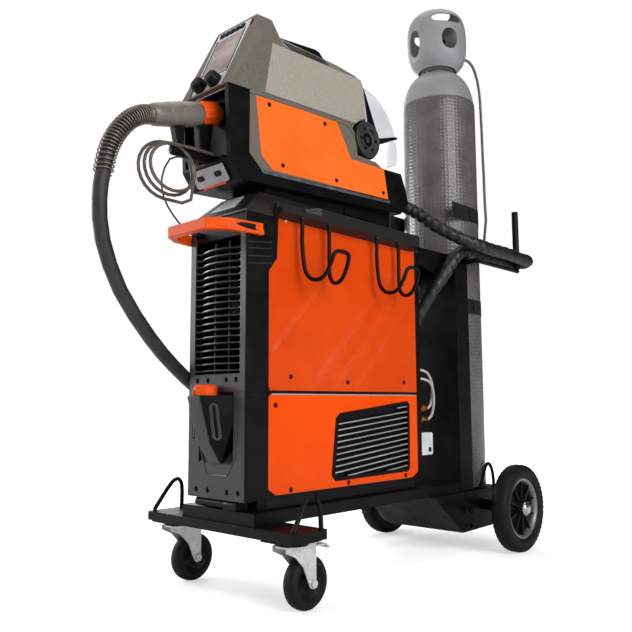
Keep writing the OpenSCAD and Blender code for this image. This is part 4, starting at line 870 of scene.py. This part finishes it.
shell = alone(turned, [(2, 20), (12, 20), (12, 23), (64, 24.6), (66, 27.6), (118, 27.2), (119, 26.4), (120.4, 26.4),
    (121.4, 27), (150, 26), (151, 25.2), (152.6, 25.2), (153.6, 25.8), (178, 24.4), (188, 22.6), (192, 20),
    (193, 16)], connector, 64)
tube = fit("connector_tube", shell, slate_abs, 0.5, facets=30)
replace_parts(tube, "gun_connector")
shell = bmesh.new()
rings = []
for along, size, rib in ((12, 24.6, 0), (13.5, 25.6, 0), (17, 26, 1.6), (44, 26.4, 2.4), (57, 27, 1.9),
                         (60, 26.8, 0.4), (62, 26, 0), (62, 25, 0)):
    rings.append([shell.verts.new(connector(along, r * cos(tau * k / 96), r * sin(tau * k / 96)))
                  for k in range(96)
                  for r in [size + rib * (0.5 + 0.5 * tanh(3 * cos(tau * k / 8)))]])
bridge(shell, rings)
nut = fit("nut_ribbed", shell, orange_abs, 0, body="locking_nut", facets=60)
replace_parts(nut, "locking_nut")

# Ribbed conduit under the connector, and the two arms that hold the tube to it
shell = bmesh.new()
ribs = [(6, 10.5)]
for k in range(21):
    ribs += [(4 - 6 * k, 12.6), (1.4 - 6 * k, 12.6), (0.6 - 6 * k, 10.8), (-1.2 - 6 * k, 10.8)]
turned(shell, [(8, 0)] + ribs + [(-123, 12.8), (-129, 12), (-132, 8), (-132, 0)],
    lambda along, a, b: at(along, a, 962 + 0.03 * along + b), 32)
fit("ribbed_conduit", shell, black_abs, 0.3, facets=40)
shell = bmesh.new()
for outline in ([(-24, 1046), (-66, 1032), (-60, 970), (-34, 970)],
                [(-102, 1020), (-130, 1010), (-120, 970), (-104, 970)]):
    cut(shell, outline, -9, 9, upright_plate)
fit("connector_arms", shell, black_abs, 1.5)


# ---------- gun cable and gun ----------
# One 3.5 m cable of 31 mm with a rubber sheath: out of the connector, down past the front of the
# machine, round the hooks on its far side, and on to the gun, which is parked nose down.

# Extruded rubber sheath: dull black with fine drawn lines
sheath = surfaced("extruded rubber sheath", "#2d2d2f", "#202022", 34, (0.46, 0.62), 1.4, 0.04)
# Spring wire: oil-hardened, brown-grey metal
wire = surfaced("oil-hardened spring wire", "#8d857b", "#6a635a", 12, (0.32, 0.5), 0.9, 0.02, metallic=0.9)
end = mouth_at + 193 * outward_line
sprung = [end, end + 22 * outward_line, (-232, 4, 994), (-258, 7, 960), (-275, 10, 920), (-284, 12, 870)]
from_connector = rounded([*sprung, (-286, 18, 817), (-266, 35, 742), (-208, 60, 650), (-112, 92, 560),
    (-30, 114, 500), (50, 120, 446), (160, 120, 388), (260, 120, 362), (340, 121, 352), (395, 129, 348),
    (431, 139, 347)], 2)
turns = [(470 + (178 + 42 * k / 36) * cos(radians(15 * k - 90)), 139 + k,
          525 + (178 + 42 * k / 36) * sin(radians(15 * k - 90))) for k in range(37)]
to_gun = [(439, 175, 745), (419, 175, 745), (380, 170, 744), (320, 164, 738), (250, 158, 728), (196, 154, 723),
    (160, 155, 713), (128, 158, 682), (112, 160, 630), (108, 160, 575), (108, 160, 556)]
cable = strung("gun_lead", [*from_connector, (439, 139, 347), *turns, *to_gun], 31, sheath, sides=10)
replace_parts(cable, "gun_cable", "gun_cable_coil")
dress(black_abs, "welding_gun")
dress(orange_abs, "gun_trigger")

# The spring: so many coils of so many short lengths, wound along the cable's first bend
coils, per_coil = 27, 16
middle = rounded(sprung, 24)
last = len(middle) - 1
wound = []
for k in range(coils * per_coil + 1):
    share = 0.02 + 0.96 * k / (coils * per_coil)
    spot = share * last
    step = int(spot)
    here = middle[step].lerp(middle[min(step + 1, last)], spot - step)
    along = (middle[min(step + 3, last)] - middle[max(step - 3, 0)]).normalized()
    across = along.cross(crosswise).normalized()
    angle = tau * k / per_coil
    wound.append(here + 19.3 * (cos(angle) * across + sin(angle) * along.cross(across)))
spring = strung("bend_relief", wound, 3.4, wire, sides=4)
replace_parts(spring, "bend_spring")


# ---------- control and sense leads ----------
# Two thin leads at the front: a control lead of 7 mm left in loose loops, and a 4 mm voltage lead
# that runs to its plug behind the handle. PVC and rubber sheaths.

# Brown-grey PVC: smooth, a little glossy
pvc = surfaced("extruded brown-grey PVC", "#5b5048", "#463d36", 24, (0.3, 0.44), 1.2, 0.02)

loops = [(-138 + (58 + k / 6) * cos(radians(90 + 15 * k)), -26 + 2 * k / 3,
          912 + (48 + 14 * k / 60) * sin(radians(90 + 15 * k))) for k in range(61)]
lead = strung("control_lead", [out_of(-8, -26, 63), out_of(-20, -26, 63), (-60, -26, 963), (-100, -26, 962), *loops,
    (-90, 14, 850), (-66, 14, 862), (-60, 14, 900), (-56, 14, 935), (-46, 14, 958), out_of(-22, 14, 63),
    out_of(-8, 14, 63)], 7, pvc, sides=6)
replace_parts(lead, "control_loops")
line = rounded([out_of(-8, 34, 63), out_of(-22, 34, 63), (-70, 34, 962), (-108, 36, 950), (-124, 42, 905),
    (-112, 50, 865), (-84, 58, 836), (-50, 64, 812), (-24, 66, 800), (-12, 66, 800)], 2)
sense = strung("sense_lead", line, 4, sheath, sides=4)
shell = alone(turned, [(-13, 2.4), (-13, 4.6), (-10, 6.2), (2, 6.6), (4, 6.6), (4, 0)],
    lambda along, a, b: at(along, 66 + a, 800 + b), 24)
plug = fit("sense_plug", shell, black_abs, 0.4)
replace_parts(sense, "sense_cable")


# ---------- gas cylinder ----------
# A seamless 50 litre steel cylinder on the platform, spun to a shoulder and neck, lacquered grey,
# under a bolted guard with hand holes, and held to the upright by two steel straps.

# Grey enamel on forged steel: satin and slightly uneven
enamel = surfaced("grey-enamelled steel", "#8b8c8c", "#7f8080", 120, (0.34, 0.48), 3.0, 0.05)
# Net sleeve: a dark glossy mesh that sparkles where it is lit
mesh_sleeve = surfaced("plastic net sleeve", "#5e5c5b", "#4e4b4a", 60, (0.22, 0.36), 2.6, 0.25)
crossed(mesh_sleeve, 11, 0.6, 0.8, turn=45)
# The guard's powder coat is paler and smoother
guard_coat = surfaced("powder-coated pale grey guard", "#8e8f90", "#828384", 90, (0.34, 0.46), 1.8, 0.03,
    rounding=2.4)


def bottle(along, a, b):
    """A place round the cylinder's axis, which stands over the axle."""
    return at(axle_x + a, b, along)


shell = alone(turned, [(165.4, 96), (168, 106), (174, 112), (184, 114), (1332, 114), (1334, 112.6), (1340, 112.8),
    *[(1340.3 + 130 * sin(radians(a)), 32 + 82 * cos(radians(a)) ** 0.9)
    for a in range(6, 90, 6)], (1470.3, 32), (1492.2, 32), (1492.2, 14)], bottle, 128)
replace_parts(fit("gas_bottle", shell, enamel, 0, facets=40), "gas_cylinder")
shell = alone(turned, [(170, 114.1), (172, 115.2), (1332, 115.4), (1352, 115.2), (1360, 114.4), (1362, 112.6)],
    bottle, 128)
fit("net_sleeve", shell, mesh_sleeve, 0, facets=40)

# Guard: a spun shell 5 mm thick with four oval hand holes and two wide slots cut through it
side_of = [(p.x, p.z) for p in rounded([(60, 0, 1480.6), (83, 0, 1505), (93, 0, 1536), (95, 0, 1574),
    (93.6, 0, 1612), (86, 0, 1645), (70, 0, 1666), (50, 0, 1675)], 7)]
openings = [(a, 1559, w, h, 2.2) for a, w, h in ((60, 27, 33), (164, 25, 43), (240, 27, 33), (344, 25, 43))]
openings += [(a, 1629, 52, 15, 3) for a in (57, 237)]


def radius_at(z):
    """The guard's outer radius at this height."""
    for (r0, z0), (r1, z1) in zip(side_of, side_of[1:]):
        if z <= z1:
            return r0 + (r1 - r0) * (z - z0) / (z1 - z0)
    return side_of[-1][0]


def trimmed(angle, z):
    """Moves a place near an opening's rim on to the rim; 0 is inside an opening, 1 its rim, 2 the sheet."""
    for middle, height, wide, tall, power in openings:
        across = radians((angle - middle + 180) % 360 - 180) * radius_at(z)
        q = (abs(across / wide) ** power + abs((z - height) / tall) ** power) ** (1 / power)
        if 0.82 < q < 1.18:
            return middle + degrees(across / q / radius_at(z)), height + (z - height) / q, 1
        if q <= 0.82:
            return angle, z, 0
    return angle, z, 2


spun = 144
shell = bmesh.new()
grids = []
for depth in (0, 5):
    grids.append([])
    for _, z in side_of:
        ring = []
        for k in range(spun):
            angle, height, state = trimmed(360 * k / spun, z)
            reach = radius_at(height) - depth
            ring.append((shell.verts.new(bottle(height, reach * cos(radians(angle)),
                                                reach * sin(radians(angle)))), state))
        grids[-1].append(ring)


def kept(row, k):
    """Whether the guard's sheet is whole in this cell."""
    if not 0 <= row < len(side_of) - 1:
        return False
    corners = [grids[0][row + i][(k + j) % spun][1] for i in (0, 1) for j in (0, 1)]
    return 0 not in corners and 2 in corners


for row in range(len(side_of) - 1):
    for k in range(spun):
        if not kept(row, k):
            continue
        corners = [(row, k), (row, (k + 1) % spun), (row + 1, (k + 1) % spun), (row + 1, k)]
        for grid in grids:
            shell.faces.new([grid[i][j][0] for i, j in corners])
        beside = (row - 1, k), (row, k + 1), (row + 1, k), (row, k - 1)
        for first, beyond in enumerate(beside):
            second = (first + 1) % 4
            if not kept(beyond[0], beyond[1] % spun):
                (a, b), (c, d) = corners[first], corners[second]
                shell.faces.new([grids[0][a][b][0], grids[0][c][d][0], grids[1][c][d][0], grids[1][a][b][0]])
bmesh.ops.delete(shell, geom=[v for v in shell.verts if not v.link_faces], context="VERTS")
turned(shell, [(1480.6, 40), (1480.6, 61), (1486, 64), (1486, 40)], bottle, 96)
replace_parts(fit("guard_shell", shell, guard_coat, 0, facets=50), "valve_guard")
dress(brass, "cylinder_valve")
dress(black_abs, "handwheel")
# Strap steel: blackened, a dull sheen along the band
strap_steel = surfaced("blackened strap steel", "#2e2f31", "#222325", 18, (0.34, 0.5), 1.0, 0.02, metallic=0.5)
dress(strap_steel, "cylinder_straps")


# ---------- gas hose and cable bundle ----------
# A 9 mm hose from the regulator outlet down to the machine, and the interconnection cables from the
# feeder to the power unit in one pleated sleeve that loops over the arm's pin.

outlet = [(axle_x + out * cos(radians(-22)), out * sin(radians(-22)), 1554.3)
          for out in (70, 82)]
line = rounded([*outlet, (1018, -50, 1546), (1050, -54, 1520), (1074, -54, 1460), (1088, -50, 1380),
    (1092, -50, 1240), (1092, -52, 1090), (1088, -48, 950), (1068, 26, 836), (1006, 116, 778), (912, 146, 738),
    (830, 142, 702), (776, 132, 660), (722, 98, 626), (682, 64, 602), (660, 60, 600), (646, 60, 600)], 2)
hose = strung("gas_tube", line, 9, pvc, sides=6)
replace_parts(hose, "gas_hose")

# Woven polyester sleeve: matt black, pleated where it bends
sleeve = surfaced("woven polyester sleeve", "#131314", "#0a0a0b", 16, (0.36, 0.6), 1.6, 0.12)
route = rounded([out_of(618, -30, 53), out_of(634, -30, 53), (664, -50, 972), (688, -85, 944), (712, -124, 910),
    (746, -168, 880), (792, -196, 864), (850, -203, 860), (940, -204, 860), (1030, -203, 858), (1076, -202, 857),
    (1092, -190, 856), (1097, -173, 855), (1092, -156, 855), (1076, -144, 854), (1030, -143, 854), (930, -143, 854),
    (840, -143, 855), (796, -142, 854), (762, -136, 830), (730, -120, 780), (704, -92, 724), (690, -58, 664),
    (690, -30, 610), (682, -15, 582), (666, -15, 570), (646, -15, 570)], 16)
shell = bmesh.new()
rings = []
across = Vector((0, 1, 0))
for k, place in enumerate(route):
    along = (route[min(k + 1, len(route) - 1)] - route[max(k - 1, 0)]).normalized()
    across = (across - across.dot(along) * along).normalized()
    over = along.cross(across)
    ring = []
    for angle in (tau * j / 28 for j in range(28)):
        size = 17.6 + 0.9 * sin(k * 0.9 + 1.4 * sin(angle)) + 0.6 * sin(3 * angle + k * 0.21)
        ring.append(shell.verts.new(at(*(place + size * cos(angle) * across + size * sin(angle) * over))))
    rings.append(ring)
bridge(shell, rings, (0, -1))
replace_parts(fit("sleeved_bundle", shell, sleeve, 0, facets=70), "cable_bundle")


# ---------- coolant lines and rear plugs ----------
# Two hoses leave brass couplings low on the rear and loop up between the units, beside two round
# plugs and a pale terminal box.

# Clear-coated braided hose: pale and a little glossy
braid = surfaced("braided coolant hose", "#c3c3c1", "#9d9e9e", 2.4, (0.3, 0.44), 0.8, 0.05)
for name, path in (("low", [(706, -62, 370), (720, -63, 371), (731, -67, 384), (730, -74, 412), (718, -82, 444),
                            (696, -88, 470), (668, -88, 480), (646, -86, 482)]),
                   ("high", [(706, -62, 400), (718, -63, 401), (726, -67, 414), (724, -75, 442), (708, -84, 472),
                             (684, -88, 496), (664, -87, 504), (646, -86, 506)])):
    strung(f"coolant_line_{name}", rounded(path, 4), 7.5, braid, sides=5)
shell = bmesh.new()
for z in (370, 400):
    turned(shell, [(613, 0), (613, 9), (672, 9), (672, 7.6), (684, 7.6), (684, 9.6), (696, 9.6), (698, 6), (710, 6),
        (710, 0)], lambda along, a, b: at(along, a - 62, z + b), 24)
fit("coolant_couplings", shell, brass, 0.5)
shell = alone(turned, [(685, 0), (685, 10.6), (693, 10.6), (693, 0)],
    lambda along, a, b: at(along, a - 62, 400 + b), 24)
fit("coupling_ring", shell, red_nylon, 0)
shell = bmesh.new()
for z in (645, 735):
    turned(shell, [(613, 0), (613, 24), (646, 24), (648, 22), (648, 19), (662, 19), (664, 17), (664, 12), (659, 10),
        (659, 0)], lambda along, a, b: at(along, a - 64, z + b), 40)
fit("rear_plugs", shell, grey_abs)
shell = alone(cut, [(613, 273), (694, 273), (698, 277), (698, 330), (694, 334), (613, 334)], -91, -52,
    upright_plate)
fit("terminal_box", shell, pale_abs, 1.2)
# the terminal box's hole as a black plate: painted shade
shell = alone(cut, [(676, 282), (688, 282), (688, 294), (676, 294)], -91.8, -90, upright_plate)
fit("terminal_hole_shade", shell, black_abs, 0)


# ---------- screws ----------
# Black button-head screws with a hexagon socket hold the side panels, and hex bolts the axle bracket.

# Black-oxide steel: dark, slightly oily
oxide = surfaced("black-oxide screw steel", "#1d1d1f", "#121213", 5, (0.28, 0.4), 0.8, 0.01, metallic=0.7)
shell = bmesh.new()
for side in (-1, 1):
    flat = [(lambda along, a, b, x=x, z=z, face=face: at(x + a, side * (face + along), z + b))
            for x, z, face in ((135, 475, 96), (330, 466, 96.6), (560, 470, 96), (88, 412, 96), (135, 227, 96),
                               (330, 227, 96), (560, 227, 96))]
    flat += [(lambda along, a, b, u=u, w=w: feeder(u + a, side * (87 + along), w + b))
             for u, w in ((84, 190), (273, 189), (121, 55), (308, 52), (498, 50))]
    for spot in flat:
        turned(shell, [(-0.4, 5.6), (0.6, 5.6), (2.1, 4.4), (2.7, 2.9), (2.7, 2.3), (1.2, 2.1), (1.2, 0)], spot, 20)
    for x, z in ((815, 112), (817, 68)):
        cut(shell, hexagon(13, x, z), side * 133.6, side * 140.2, lambda a, b, c: at(a, c, b))
screws = fit("panel_screws", shell, oxide, 0.2)
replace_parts(screws, "fasteners")
